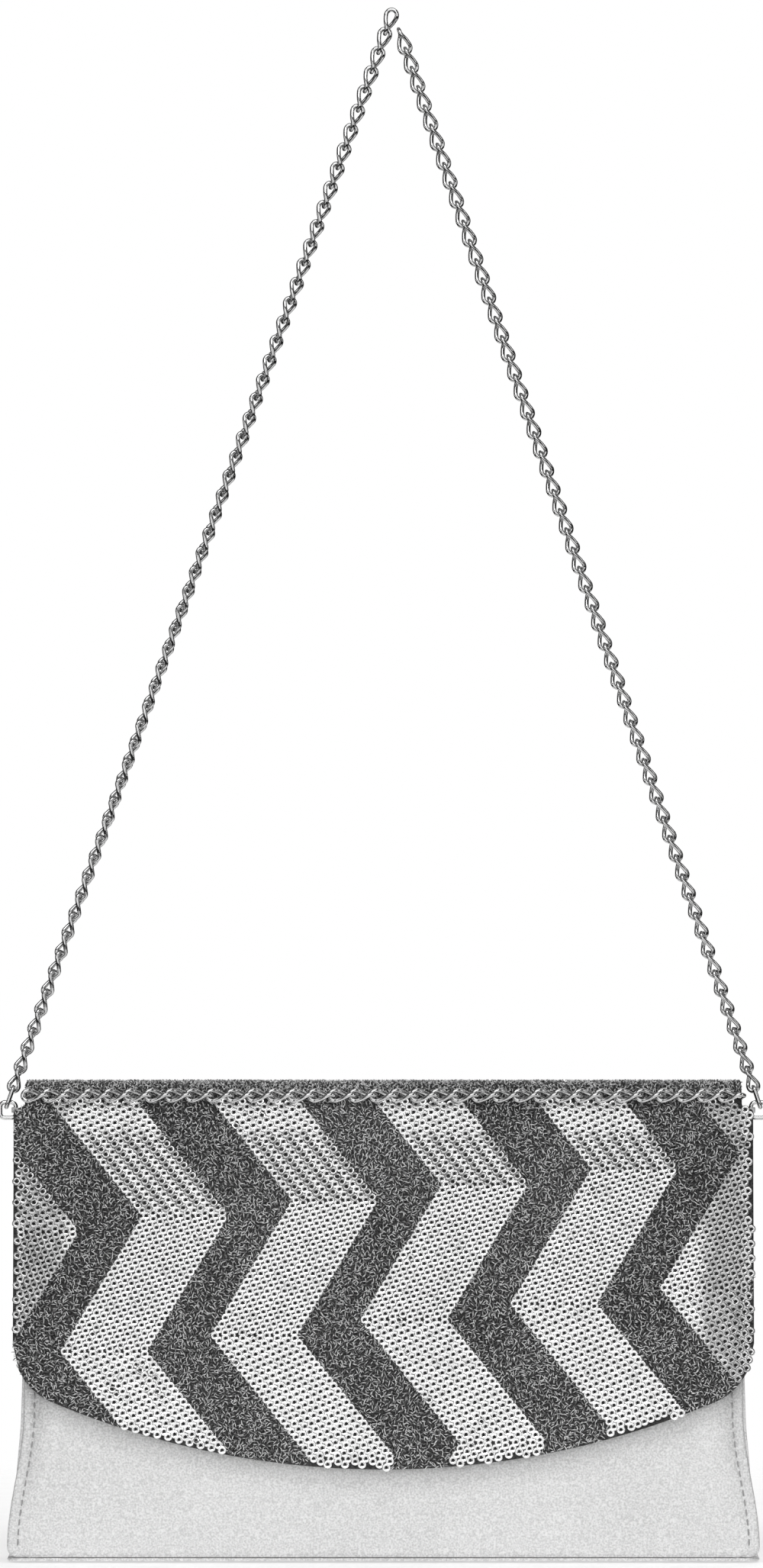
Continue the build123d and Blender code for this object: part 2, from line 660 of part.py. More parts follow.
end_top = end_link_half + end_link_radius
first_link = link_half + link_radius - wire / 2
last_link = 2 * end_link_half + end_link_radius - wire + link_half + link_radius - contact_gap
for side, word, roll in ((-1, "left", left_roll), (1, "right", right_roll)):
    ring_x = middle + side * ring_offset
    foot = Vector(ring_x, 0, swing_z)
    down = foot.normalized()
    reach = foot.length - last_link - first_link
    count = round(reach / link_pitch) + 1
    pitch = reach / (count - 1)
    across = Vector(0, 1, 0).cross(-down)
    places = []
    for k in range(count):
        turn = roll[0] + (roll[1] - roll[0]) * k / (count - 1)
        frame = Plane(origin=down * (first_link + k * pitch), x_dir=across, z_dir=-down)
        places.append(frame.location * Location((0, 0, 0), (0, 0, turn)))
    if side > 0:
        places = places[1:]
    with BuildPart() as strap_chain:
        with Locations(*places):
            add(link)
    finish(strap_chain, f"strap_chain_{word}")
    print(word, "links", len(places), "pitch", round(pitch, 3), "leg", round(foot.length, 2))

    with BuildPart() as end_link:
        centre = foot - down * end_link_half
        loop_of_wire(Plane(origin=centre, x_dir=(0, 1, 0), z_dir=across), end_link_radius, end_top, end_link_radius)
    finish(end_link, f"{word}_end_link")

    with BuildPart() as side_ring:
        loop_of_wire(Plane(origin=(ring_x, 0, ring_z), x_dir=(1, 0, 0), z_dir=(0, -1, 0)), ring_half, ring_half,
                     ring_corner)
    finish(side_ring, f"{word}_side_ring")

    sleeve = wire / 2 + tab_clearance
    bar_x = ring_x - side * ring_half
    tab_reach = ring_offset - ring_half - gusset_reach(ring_z - base_z - tab_root_height) - tab_ease
    with BuildPart() as ring_tab:
        with BuildSketch(Plane(origin=(bar_x, 0, ring_z - tab_height / 2))):
            Circle(sleeve + tab_sleeve)
            Circle(sleeve, mode=Mode.SUBTRACT)
        extrude(amount=tab_height)
        with BuildSketch(Plane(origin=(bar_x, 0, ring_z), x_dir=(-side, 0, 0), z_dir=(0, side, 0))):
            with BuildLine():
                Polyline(
                    (sleeve + 0.1, tab_height / 2), (sleeve + 0.1, -tab_height / 2), (tab_reach, -tab_root_height),
                    (tab_reach, -tab_height), close=True,
                )
            make_face()
        extrude(amount=tab_sleeve, both=True)
    finish(ring_tab, f"{word}_ring_tab")

print("hook to base", base_z, "swing axis z", swing_z, "flap axis", trim_y, trim_z)
print("leans", degrees(front_lean), degrees(back_lean), "front foot", front_y, base_z + foot_height)
print("bail", bail, "zip travel", slider_travel, "snap", snap_plane.origin)
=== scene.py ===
"""An evening bag on a chain: silver leather body, sequined flap and satin inside, over a pale floor.

Metres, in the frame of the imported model: +Z up, the front faces -Y, the origin at the strap's hang point.
"""

import logging
import math
from dataclasses import dataclass, field
from enum import Enum

import bpy
import numpy as np
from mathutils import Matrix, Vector


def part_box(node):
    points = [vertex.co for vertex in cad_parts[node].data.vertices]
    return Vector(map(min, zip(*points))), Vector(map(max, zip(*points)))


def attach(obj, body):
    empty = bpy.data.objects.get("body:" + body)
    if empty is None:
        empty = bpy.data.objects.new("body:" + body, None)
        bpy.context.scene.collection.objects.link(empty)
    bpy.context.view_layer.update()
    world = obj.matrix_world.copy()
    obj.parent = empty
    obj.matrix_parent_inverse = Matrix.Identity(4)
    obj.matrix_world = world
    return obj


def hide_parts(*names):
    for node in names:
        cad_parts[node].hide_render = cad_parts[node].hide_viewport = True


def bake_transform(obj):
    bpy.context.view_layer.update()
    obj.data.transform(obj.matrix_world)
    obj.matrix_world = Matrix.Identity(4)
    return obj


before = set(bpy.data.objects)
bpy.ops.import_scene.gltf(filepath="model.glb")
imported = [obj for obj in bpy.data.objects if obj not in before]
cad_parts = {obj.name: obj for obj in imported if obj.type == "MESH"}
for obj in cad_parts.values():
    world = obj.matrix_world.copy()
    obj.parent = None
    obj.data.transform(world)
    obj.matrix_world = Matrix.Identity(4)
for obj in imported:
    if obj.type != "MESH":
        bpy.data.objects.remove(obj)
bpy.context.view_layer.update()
LOG = logging.getLogger("evening_bag")
MM = 0.001
X_WAY = np.array([1.0, 0.0, 0.0])
NARROWEST_SHEET = 0.01
LINING_PITCH = 0.0026
LINING_STITCH = 0.0018
LINING_THREAD = 0.00035


# ---------------------------------------------------------------- meshes

@dataclass
class Solid:
    """Vertices and four-cornered faces of one or more closed forms, with an optional tint for each vertex."""

    points: np.ndarray
    quads: np.ndarray
    tint: np.ndarray | None = None

    def joined(self, other: "Solid") -> "Solid":
        """Returns this solid and another as one."""
        quads = np.vstack([self.quads, other.quads + len(self.points)])
        return Solid(np.vstack([self.points, other.points]), quads)

    def outward(self) -> "Solid":
        """Returns the solid with its faces turned outwards, judged by its volume."""
        a, b, c, d = (self.points[self.quads[:, k]] for k in range(4))
        volume = np.sum(a * np.cross(b, c)) + np.sum(a * np.cross(c, d))
        return self if volume > 0 else Solid(self.points, self.quads[:, ::-1], self.tint)


def make_piece(name: str, solid: Solid, material: bpy.types.Material) -> bpy.types.Object:
    """Makes a smooth-shaded mesh object.

    Args:
        name: the piece's name.
        solid: its vertices and faces.
        material: the finish it wears.

    Returns:
        The object, linked to the scene.
    """
    mesh = bpy.data.meshes.new(name)
    mesh.vertices.add(len(solid.points))
    mesh.vertices.foreach_set("co", solid.points.astype(np.float32).ravel())
    mesh.loops.add(solid.quads.size)
    mesh.loops.foreach_set("vertex_index", solid.quads.astype(np.int32).ravel())
    mesh.polygons.add(len(solid.quads))
    mesh.polygons.foreach_set("loop_start", np.arange(0, solid.quads.size, 4, dtype=np.int32))
    mesh.update(calc_edges=True)
    mesh.validate()
    mesh.shade_smooth()
    if solid.tint is not None:
        layer = mesh.attributes.new("tint", "FLOAT", "POINT")
        layer.data.foreach_set("value", solid.tint.astype(np.float32))
    mesh.materials.append(material)
    piece = bpy.data.objects.new(name, mesh)
    bpy.context.scene.collection.objects.link(piece)
    return piece


def grid_normals(grid: np.ndarray) -> np.ndarray:
    """Returns the unit normal at each point of a grid of points, rows by columns by 3."""
    normal = np.cross(np.gradient(grid, axis=0), np.gradient(grid, axis=1))
    return normal / np.maximum(np.linalg.norm(normal, axis=2, keepdims=True), 1e-12)


def edge_stops(grid: np.ndarray, axis: int, radius: float) -> np.ndarray:
    """Returns row numbers, whole and part, that crowd towards both rims so that a rim can be rounded."""
    steps = np.linalg.norm(np.diff(grid, axis=axis), axis=2)
    count = grid.shape[axis]
    ends = [steps.take(k, axis=axis).mean() for k in (0, -1)]
    crowd = np.array([0.0, 0.08, 0.3, 0.62, 1.0]) * radius
    first = np.minimum(crowd / ends[0], 0.9)
    last = count - 1 - np.minimum(crowd / ends[1], 0.9)[::-1]
    return np.concatenate([first, np.arange(1, count - 1), last])


def resampled(values: np.ndarray, stops: np.ndarray, axis: int) -> np.ndarray:
    """Returns values taken at row numbers that may lie between two rows."""
    low = np.clip(np.floor(stops).astype(int), 0, values.shape[axis] - 2)
    share = stops - low
    shape = [1] * values.ndim
    shape[axis] = -1
    share = share.reshape(shape)
    return values.take(low, axis=axis) * (1 - share) + values.take(low + 1, axis=axis) * share


def rim_distance(grid: np.ndarray) -> np.ndarray:
    """Returns how far each point of a grid lies from the nearest of its four rims, along the surface."""
    found = []
    for axis in (0, 1):
        steps = np.linalg.norm(np.diff(grid, axis=axis), axis=2)
        start = np.zeros_like(steps.take([0], axis=axis))
        run = np.concatenate([start, np.cumsum(steps, axis=axis)], axis=axis)
        found += [run, run.take([-1], axis=axis) - run]
    return np.minimum.reduce(found)


def thin_sheet(grid: np.ndarray, thick: float) -> Solid:
    """Makes a closed sheet with rounded rims about a middle surface.

    Args:
        grid: points of the middle surface, rows by columns by 3.
        thick: the sheet's thickness.

    Returns:
        The closed solid.
    """
    radius = thick / 2
    normal = grid_normals(grid)
    for axis in (0, 1):
        stops = edge_stops(grid, axis, radius)
        grid, normal = resampled(grid, stops, axis), resampled(normal, stops, axis)
    normal /= np.linalg.norm(normal, axis=2, keepdims=True)
    inward = np.clip(rim_distance(grid) / radius, 0, 1)
    lift = (radius * np.sqrt(1 - (1 - inward) ** 2))[..., None]
    rows, columns = grid.shape[:2]
    top = np.arange(rows * columns).reshape(rows, columns)
    below = top + rows * columns
    rim = np.ones((rows, columns), bool)
    rim[1:-1, 1:-1] = False
    below[rim] = top[rim]
    points = np.vstack([(grid + normal * lift).reshape(-1, 3), (grid - normal * lift).reshape(-1, 3)])
    upper = np.stack([top[:-1, :-1], top[:-1, 1:], top[1:, 1:], top[1:, :-1]], axis=-1).reshape(-1, 4)
    under = np.stack([below[:-1, :-1], below[1:, :-1], below[1:, 1:], below[:-1, 1:]], axis=-1).reshape(-1, 4)
    quads = np.vstack([upper, under])
    used = np.unique(quads)
    place = np.full(len(points), -1)
    place[used] = np.arange(len(used))
    return Solid(points[used], place[quads]).outward()


def scattered(form: Solid, spots: np.ndarray, frames: np.ndarray, tint: np.ndarray) -> Solid:
    """Repeats a small form at many spots.

    Args:
        form: the form, about its own origin.
        spots: where each copy goes, n by 3.
        frames: each copy's x, y and z directions as rows, scaled, n by 3 by 3.
        tint: one value from 0 to 1 for each copy.

    Returns:
        All the copies as one solid.
    """
    points = np.einsum("pk,nkj->npj", form.points, frames) + spots[:, None, :]
    quads = form.quads[None] + np.arange(len(spots))[:, None, None] * len(form.points)
    return Solid(points.reshape(-1, 3), quads.reshape(-1, 4), np.repeat(tint, len(form.points)))


def ring_tube(rings: np.ndarray, closed: bool = False) -> Solid:
    """Makes a tube through rings of points, rings by corners by 3, joined end to end or capped.

    A capped tube has an even number of corners.
    """
    count, corners = rings.shape[:2]
    index = np.arange(count * corners).reshape(count, corners)
    upper = np.vstack([index, index[:1]]) if closed else index
    turned = np.roll(upper, -1, axis=1)
    quads = np.stack([upper[:-1], turned[:-1], turned[1:], upper[1:]], axis=-1).reshape(-1, 4)
    if not closed:
        fan = np.array([[0, k, k + 1, k + 2] for k in range(1, corners - 2, 2)])
        quads = np.vstack([quads, index[0][fan][:, ::-1], index[-1][fan]])
    return Solid(rings.reshape(-1, 3), quads).outward()


def ripple(grid: np.ndarray, size: float, seed: int) -> np.ndarray:
    """Returns a smooth uneven field, about -1 to 1, over a grid of points, with swells of the given size."""
    draw = np.random.default_rng(seed)
    total = np.zeros(grid.shape[:-1])
    waves = 7
    for _ in range(waves):
        way = draw.normal(size=3)
        way *= draw.uniform(0.6, 1.5) * 2 * math.pi / size / np.linalg.norm(way)
        total += np.sin(grid @ way + draw.uniform(0, 2 * math.pi))
    return total / math.sqrt(waves)


def smooth_step(values: np.ndarray, low: float, high: float) -> np.ndarray:
    """Returns 0 below low, 1 above high and a smooth rise between them."""
    share = np.clip((values - low) / (high - low), 0, 1)
    return share * share * (3 - 2 * share)


def lay_sheet(piece: bpy.types.Object, grid: np.ndarray, held: str, *rests_on: str) -> None:
    """Logs the size of a cloth or leather piece, its cut measured along its taut middle surface.

    Args:
        piece: the finished piece.
        grid: its middle surface, rows by columns of points.
        rests_on: names of what it lies on or hangs from; not used.
    """
    width = float(np.linalg.norm(np.diff(grid, axis=1), axis=-1).sum(axis=1).max())
    length = float(np.linalg.norm(np.diff(grid, axis=0), axis=-1).sum(axis=0).max())
    cross = np.cross(grid[1:, 1:] - grid[:-1, :-1], grid[1:, :-1] - grid[:-1, 1:])
    area = min(float(np.linalg.norm(cross, axis=-1).sum() / 2), width * length)
    if min(width, length) < NARROWEST_SHEET:
        LOG.info("%s is a strip %.0f mm wide, too narrow for a sheet", piece.name, min(width, length) / MM)
        return
    LOG.info("sheet %s: %.0f by %.0f mm, %.4f square metres", piece.name, width / MM, length / MM, area)


def capsule() -> Solid:
    """Returns a short four-sided rod along x, bowed up in the middle, a unit long, high and wide."""
    stations = ((-0.5, 0.0, 0.55), (0.0, 1.0, 1.0), (0.5, 0.0, 0.55))
    turns = np.arange(4) * math.pi / 2 + math.pi / 4
    rings = [
        [(along, wide * math.cos(t) / 2, bow + wide * math.sin(t) / 2) for t in turns]
        for along, bow, wide in stations
    ]
    return ring_tube(np.array(rings))


def stitch_rod() -> Solid:
    """Returns a stitch's thread along x, one long and one thick, sunk at both ends."""
    stations = (
        (-0.5, -0.55, 0.5), (-0.34, 0.1, 0.95), (0.0, 0.25, 1.0), (0.34, 0.1, 0.95), (0.5, -0.55, 0.5),
    )
    turns = np.arange(8) * math.pi / 4
    rings = [
        [(along, wide * math.cos(t) / 2, rise + wide * math.sin(t) / 2) for t in turns]
        for along, rise, wide in stations
    ]
    return ring_tube(np.array(rings))


# ---------------------------------------------------------------- finishes

class Texture(Enum):
    """The surface that a finish carries."""

    GRAIN = "fine_grain"
    WEAVE = "woven_threads"
    FIBRE = "pressed_fibre"
    POLISH = "handling_marks"


class NodeBench:
    """Adds nodes to one tree."""

    def __init__(self, tree: bpy.types.NodeTree) -> None:
        """Args: tree: the material's or group's node tree."""
        self.tree = tree

    def add(self, kind: str, settings: dict | None = None, **inputs: object) -> bpy.types.Node:
        """Adds a node, sets its properties, and sets or links its inputs.

        Args:
            kind: the node's type.
            settings: properties of the node itself.
            inputs: values or output sockets by input name, with _ for a space.

        Returns:
            The node.
        """
        node = self.tree.nodes.new(kind)
        for key, value in (settings or {}).items():
            setattr(node, key, value)
        for key, value in inputs.items():
            self.feed(node.inputs[key.replace("_", " ")], value)
        return node

    def feed(self, socket: bpy.types.NodeSocket, value: object) -> None:
        """Links an output socket to an input, or sets the input's value."""
        if isinstance(value, bpy.types.NodeSocket):
            self.tree.links.new(value, socket)
        else:
            socket.default_value = value

    def sum(self, operation: str, first: object, second: object) -> bpy.types.NodeSocket:
        """Returns the result of a Math node on two values or sockets."""
        node = self.tree.nodes.new("ShaderNodeMath")
        node.operation = operation
        self.feed(node.inputs[0], first)
        self.feed(node.inputs[1], second)
        return node.outputs[0]

    def noise(self, place: bpy.types.NodeSocket, scale: object, detail: float = 2.0) -> bpy.types.NodeSocket:
        """Returns a noise value from 0 to 1 at a scale in swells per metre."""
        return self.add("ShaderNodeTexNoise", None, Vector=place, Scale=scale, Detail=detail).outputs["Fac"]

    def spread(self, value: object, low: float, high: float, start: float, end: float
               ) -> bpy.types.NodeSocket:
        """Returns a value moved from the range low to high into the range start to end."""
        ends = {"From_Min": low, "From_Max": high, "To_Min": start, "To_Max": end}
        node = self.add("ShaderNodeMapRange", None, Value=value, **ends)
        return node.outputs["Result"]


def effect_group(texture: Texture) -> bpy.types.NodeTree:
    """Returns a texture's shared node group, with Height, Mask and Patches outputs, built the first time."""
    if texture.value in bpy.data.node_groups:
        return bpy.data.node_groups[texture.value]
    tree = bpy.data.node_groups.new(texture.value, "ShaderNodeTree")
    size = tree.interface.new_socket("Scale", in_out="INPUT", socket_type="NodeSocketFloat")
    size.default_value = 1000.0
    for name in ("Height", "Mask", "Patches"):
        tree.interface.new_socket(name, in_out="OUTPUT", socket_type="NodeSocketFloat")
    bench = NodeBench(tree)
    scale = bench.add("NodeGroupInput").outputs["Scale"]
    place = bench.add("ShaderNodeTexCoord").outputs["Object"]
    patches = bench.spread(bench.noise(place, 22.0, 3.0), 0.3, 0.7, 0.0, 1.0)
    if texture is Texture.GRAIN:
        pebble = bench.add("ShaderNodeTexVoronoi", None, Vector=place, Scale=scale).outputs["Distance"]
        fine = bench.noise(place, bench.sum("MULTIPLY", scale, 2.3), 3.0)
        height = bench.sum("ADD", bench.sum("MULTIPLY", pebble, 0.55), bench.sum("MULTIPLY", fine, 0.75))
        mask = bench.spread(bench.noise(place, bench.sum("MULTIPLY", scale, 0.8), 2.0), 0.34, 0.66, 0.0, 1.0)
    elif texture is Texture.WEAVE:
        threads = []
        for way in ("X", "Z"):
            settings = {"wave_type": "BANDS", "bands_direction": way}
            wave = bench.add("ShaderNodeTexWave", settings, Vector=place, Scale=scale, Distortion=0.6)
            threads.append(wave.outputs["Fac"])
        height = bench.sum("MAXIMUM", threads[0], bench.sum("MULTIPLY", threads[1], 0.8))
        mask = bench.sum("MULTIPLY", threads[0], bench.noise(place, 900.0, 2.0))
    elif texture is Texture.FIBRE:
        height = bench.noise(place, scale, 5.0)
        mask = bench.spread(bench.noise(place, bench.sum("MULTIPLY", scale, 0.3), 4.0), 0.35, 0.65, 0.0, 1.0)
    else:
        settings = {"wave_type": "BANDS", "bands_direction": "DIAGONAL"}
        look = {"Scale": scale, "Distortion": 18.0, "Detail": 4.0}
        lines = bench.add("ShaderNodeTexWave", settings, Vector=place, **look)
        marks = bench.sum("MULTIPLY", lines.outputs["Fac"], 0.3)
        height = bench.sum("ADD", marks, bench.noise(place, scale, 3.0))
        mask = bench.spread(bench.noise(place, bench.sum("MULTIPLY", scale, 0.5), 4.0), 0.4, 0.6, 0.0, 1.0)
    bench.add("NodeGroupOutput", None, Height=height, Mask=mask, Patches=patches)
    return tree


@dataclass(frozen=True)
class Finish:
    """A material with a colour range, a texture at its real scale and a roughness range."""

    name: str
    dark: tuple[float, float, float]
    light: tuple[float, float, float]
    texture: Texture
    scale: float
    metal: float
    rough: tuple[float, float]
    bump: float
    depth: float = 0.0001
    sheen: float = 0.0
    coat: float = 0.0
    tint_share: float = 0.0
    patch: float = 0.25

    def build(self) -> bpy.types.Material:
        """Returns the finish's material, building it the first time."""
        if self.name in bpy.data.materials:
            return bpy.data.materials[self.name]
        material = bpy.data.materials.new(self.name)
        material.use_nodes = True
        bench = NodeBench(material.node_tree)
        shader = material.node_tree.nodes["Principled BSDF"]
        group = bench.add("ShaderNodeGroup", {"node_tree": effect_group(self.texture)}, Scale=self.scale)
        mask = group.outputs["Mask"]
        if self.tint_share:
            tint = bench.add("ShaderNodeAttribute", {"attribute_name": "tint"}).outputs["Fac"]
            mask = bench.sum("ADD", bench.sum("MULTIPLY", tint, self.tint_share),
                             bench.sum("MULTIPLY", mask, 1.0 - self.tint_share))
        share = bench.sum("ADD", bench.sum("MULTIPLY", mask, 1.0 - self.patch),
                          bench.sum("MULTIPLY", group.outputs["Patches"], self.patch))
        mix = bench.add("ShaderNodeMix", {"data_type": "RGBA"})
        for socket, value in ((0, share), (6, (*self.dark, 1.0)), (7, (*self.light, 1.0))):
            bench.feed(mix.inputs[socket], value)
        bench.feed(shader.inputs["Base Color"], mix.outputs[2])
        shader.inputs["Metallic"].default_value = self.metal
        shader.inputs["Sheen Weight"].default_value = self.sheen
        shader.inputs["Coat Weight"].default_value = self.coat
        rough = bench.spread(group.outputs["Mask"], 0.0, 1.0, self.rough[1], self.rough[0])
        bench.feed(shader.inputs["Roughness"], rough)
        relief = {"Strength": self.bump, "Distance": self.depth, "Height": group.outputs["Height"]}
        bump = bench.add("ShaderNodeBump", None, **relief)
        bench.feed(shader.inputs["Normal"], bump.outputs["Normal"])
        return material


def grey(value: float, warm: float = 0.0) -> tuple[float, float, float]:
    """Returns a grey as a colour, a little warm or cool."""
    return (value * (1 + warm), value, value * (1 - warm))


LEATHER = Finish("grained_leather", grey(0.36), grey(0.9), Texture.GRAIN, 1900.0, 0.4, (0.3, 0.5), 0.8,
                 0.0002, tint_share=0.5, patch=0.08)
EDGE_LEATHER = Finish("edge_leather", grey(0.45), grey(0.85), Texture.GRAIN, 1300.0, 0.4, (0.35, 0.6), 0.6,
                      0.0002)
CHAIN = Finish("polished_chain", grey(0.6), grey(0.76), Texture.POLISH, 900.0, 1.0, (0.08, 0.16), 0.05,
               0.00005)
SEQUIN = Finish("sequin_silver", grey(0.42), grey(0.98), Texture.POLISH, 700.0, 1.0, (0.1, 0.22), 0.05,
                0.00005, tint_share=0.85, patch=0.05)
YARN = Finish("gunmetal_yarn", grey(0.02), grey(1.0), Texture.WEAVE, 2200.0, 0.35, (0.2, 0.36), 0.3,
              0.00008, tint_share=0.85, patch=0.1)
GROUND = Finish("dark_ground_cloth", grey(0.01), grey(0.07), Texture.GRAIN, 1500.0, 0.3, (0.5, 0.8), 1.0,
                0.0004)
SATIN = Finish("satin_lining", grey(0.11), grey(0.19), Texture.WEAVE, 1500.0, 0.0, (0.3, 0.42), 0.25, 0.00005,
               sheen=0.4)
TAPE = Finish("zip_tape_cloth", grey(0.05), grey(0.11), Texture.WEAVE, 900.0, 0.0, (0.7, 0.85), 0.8, 0.00015,
              sheen=0.3)
BOARD = Finish("grey_board", grey(0.38, 0.06), grey(0.6, 0.09), Texture.FIBRE, 700.0, 0.0, (0.8, 0.92), 0.5,
               0.0002)
NICKEL = Finish("zip_nickel", grey(0.6), grey(0.75), Texture.POLISH, 1200.0, 1.0, (0.16, 0.32), 0.1, 0.00005)
FERRITE = Finish("ferrite", grey(0.08), grey(0.16), Texture.FIBRE, 2500.0, 0.3, (0.55, 0.75), 0.4)
THREAD = Finish("silver_thread", grey(0.3), grey(0.5), Texture.WEAVE, 3000.0, 0.1, (0.5, 0.7), 0.5, 0.00008)


# ---------------------------------------------------------------- the bag's form

@dataclass(frozen=True)
class LeaningWall:
    """The outer face of a wall that leans inwards: a foot line, a lean and the way it faces."""

    middle: float
    foot_y: float
    foot_z: float
    lean: float
    facing: float

    @property
    def up(self) -> np.ndarray:
        """The direction up the wall's face."""
        return np.array([0.0, -self.facing * math.sin(self.lean), math.cos(self.lean)])

    @property
    def out(self) -> np.ndarray:
        """The direction out of the wall's face."""
        return np.array([0.0, self.facing * math.cos(self.lean), math.sin(self.lean)])

    def at(self, x: np.ndarray, rise: np.ndarray, out: np.ndarray | float) -> np.ndarray:
        """Returns points x to the right of the middle, rise up the wall and out of its face."""
        x, rise, out = np.broadcast_arrays(x, rise, out)
        foot = np.array([self.middle, self.foot_y, self.foot_z])
        return foot + x[..., None] * X_WAY + rise[..., None] * self.up + out[..., None] * self.out


@dataclass(frozen=True)
class BagForm:
    """Sizes that the sub-assemblies share."""

    base_half: float = 0.1302
    base_depth: float = 0.044
    base_thick: float = 0.0012
    fold_y: float = 0.0024
    fold_z: float = -0.3835
    front_lean: float = math.radians(6.122)
    back_lean: float = math.radians(4.445)
    front_height: float = 0.1485
    back_height: float = 0.1524
    waist_rise: float = 0.05
    corner: float = 0.0036
    leather: float = 0.0012

    @property
    def middle(self) -> float:
        """The bag's middle, left or right of the hang point."""
        low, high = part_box("base_panel")
        return (low.x + high.x) / 2

    @property
    def base_z(self) -> float:
        """The underside of the base."""
        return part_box("base_panel")[0].z

    @property
    def front(self) -> LeaningWall:
        """The front wall's outer face."""
        foot_y = self.fold_y - self.base_depth / 2
        return LeaningWall(self.middle, foot_y, self.base_z + 0.0014, self.front_lean, -1.0)

    @property
    def back(self) -> LeaningWall:
        """The back wall's outer face."""
        foot_y = self.fold_y + self.base_depth / 2
        return LeaningWall(self.middle, foot_y, self.base_z + 0.0013, self.back_lean, 1.0)

    def wall_half(self, rise: np.ndarray, waist_half: float, top_half: float, height: float) -> np.ndarray:
        """Returns half a wall's width at each rise: round lower corners, a waist, then straight sides."""
        waist = smooth_step(rise, self.corner, self.waist_rise)
        flare = self.base_half - (self.base_half - waist_half) * waist
        taper = (waist_half - top_half) * np.clip((rise - self.waist_rise) / (height - self.waist_rise), 0, 1)
        low = np.clip(self.corner - rise, 0, self.corner)
        return flare - taper - (self.corner - np.sqrt(self.corner ** 2 - low ** 2))


FORM = BagForm()


@dataclass
class StitchLine:
    """A row of stitches along a line of points on a surface."""

    path: np.ndarray
    out: np.ndarray
    pitch: float = 0.0034
    long: float = 0.0024
    thick: float = 0.00055

    def build(self) -> Solid:
        """Returns the stitches as one solid."""
        steps = np.linalg.norm(np.diff(self.path, axis=0), axis=1)
        run = np.concatenate([[0.0], np.cumsum(steps)])
        count = int(run[-1] / self.pitch)
        stops = (np.arange(count) + 0.5) * run[-1] / count
        spots = np.stack([np.interp(stops, run, self.path[:, k]) for k in range(3)], axis=1)
        ahead = np.stack([np.interp(stops + 1e-4, run, self.path[:, k]) for k in range(3)], axis=1)
        before = np.stack([np.interp(stops - 1e-4, run, self.path[:, k]) for k in range(3)], axis=1)
        along = ahead - before
        along /= np.linalg.norm(along, axis=1, keepdims=True)
        side = np.cross(self.out, along)
        out = np.broadcast_to(self.out, along.shape)
        frames = np.stack([along * self.long, side * self.thick, out * self.thick], axis=1)
        return scattered(stitch_rod(), spots, frames, np.full(count, 0.5))


def fine_seams(lines: list[np.ndarray], out: np.ndarray) -> Solid:
    """Returns fine lining stitches along several lines as one solid."""
    seams = [StitchLine(line, out, LINING_PITCH, LINING_STITCH, LINING_THREAD).build() for line in lines]
    threads = seams[0]
    for seam in seams[1:]:
        threads = threads.joined(seam)
    return threads


# ---------------------------------------------------------------- the body

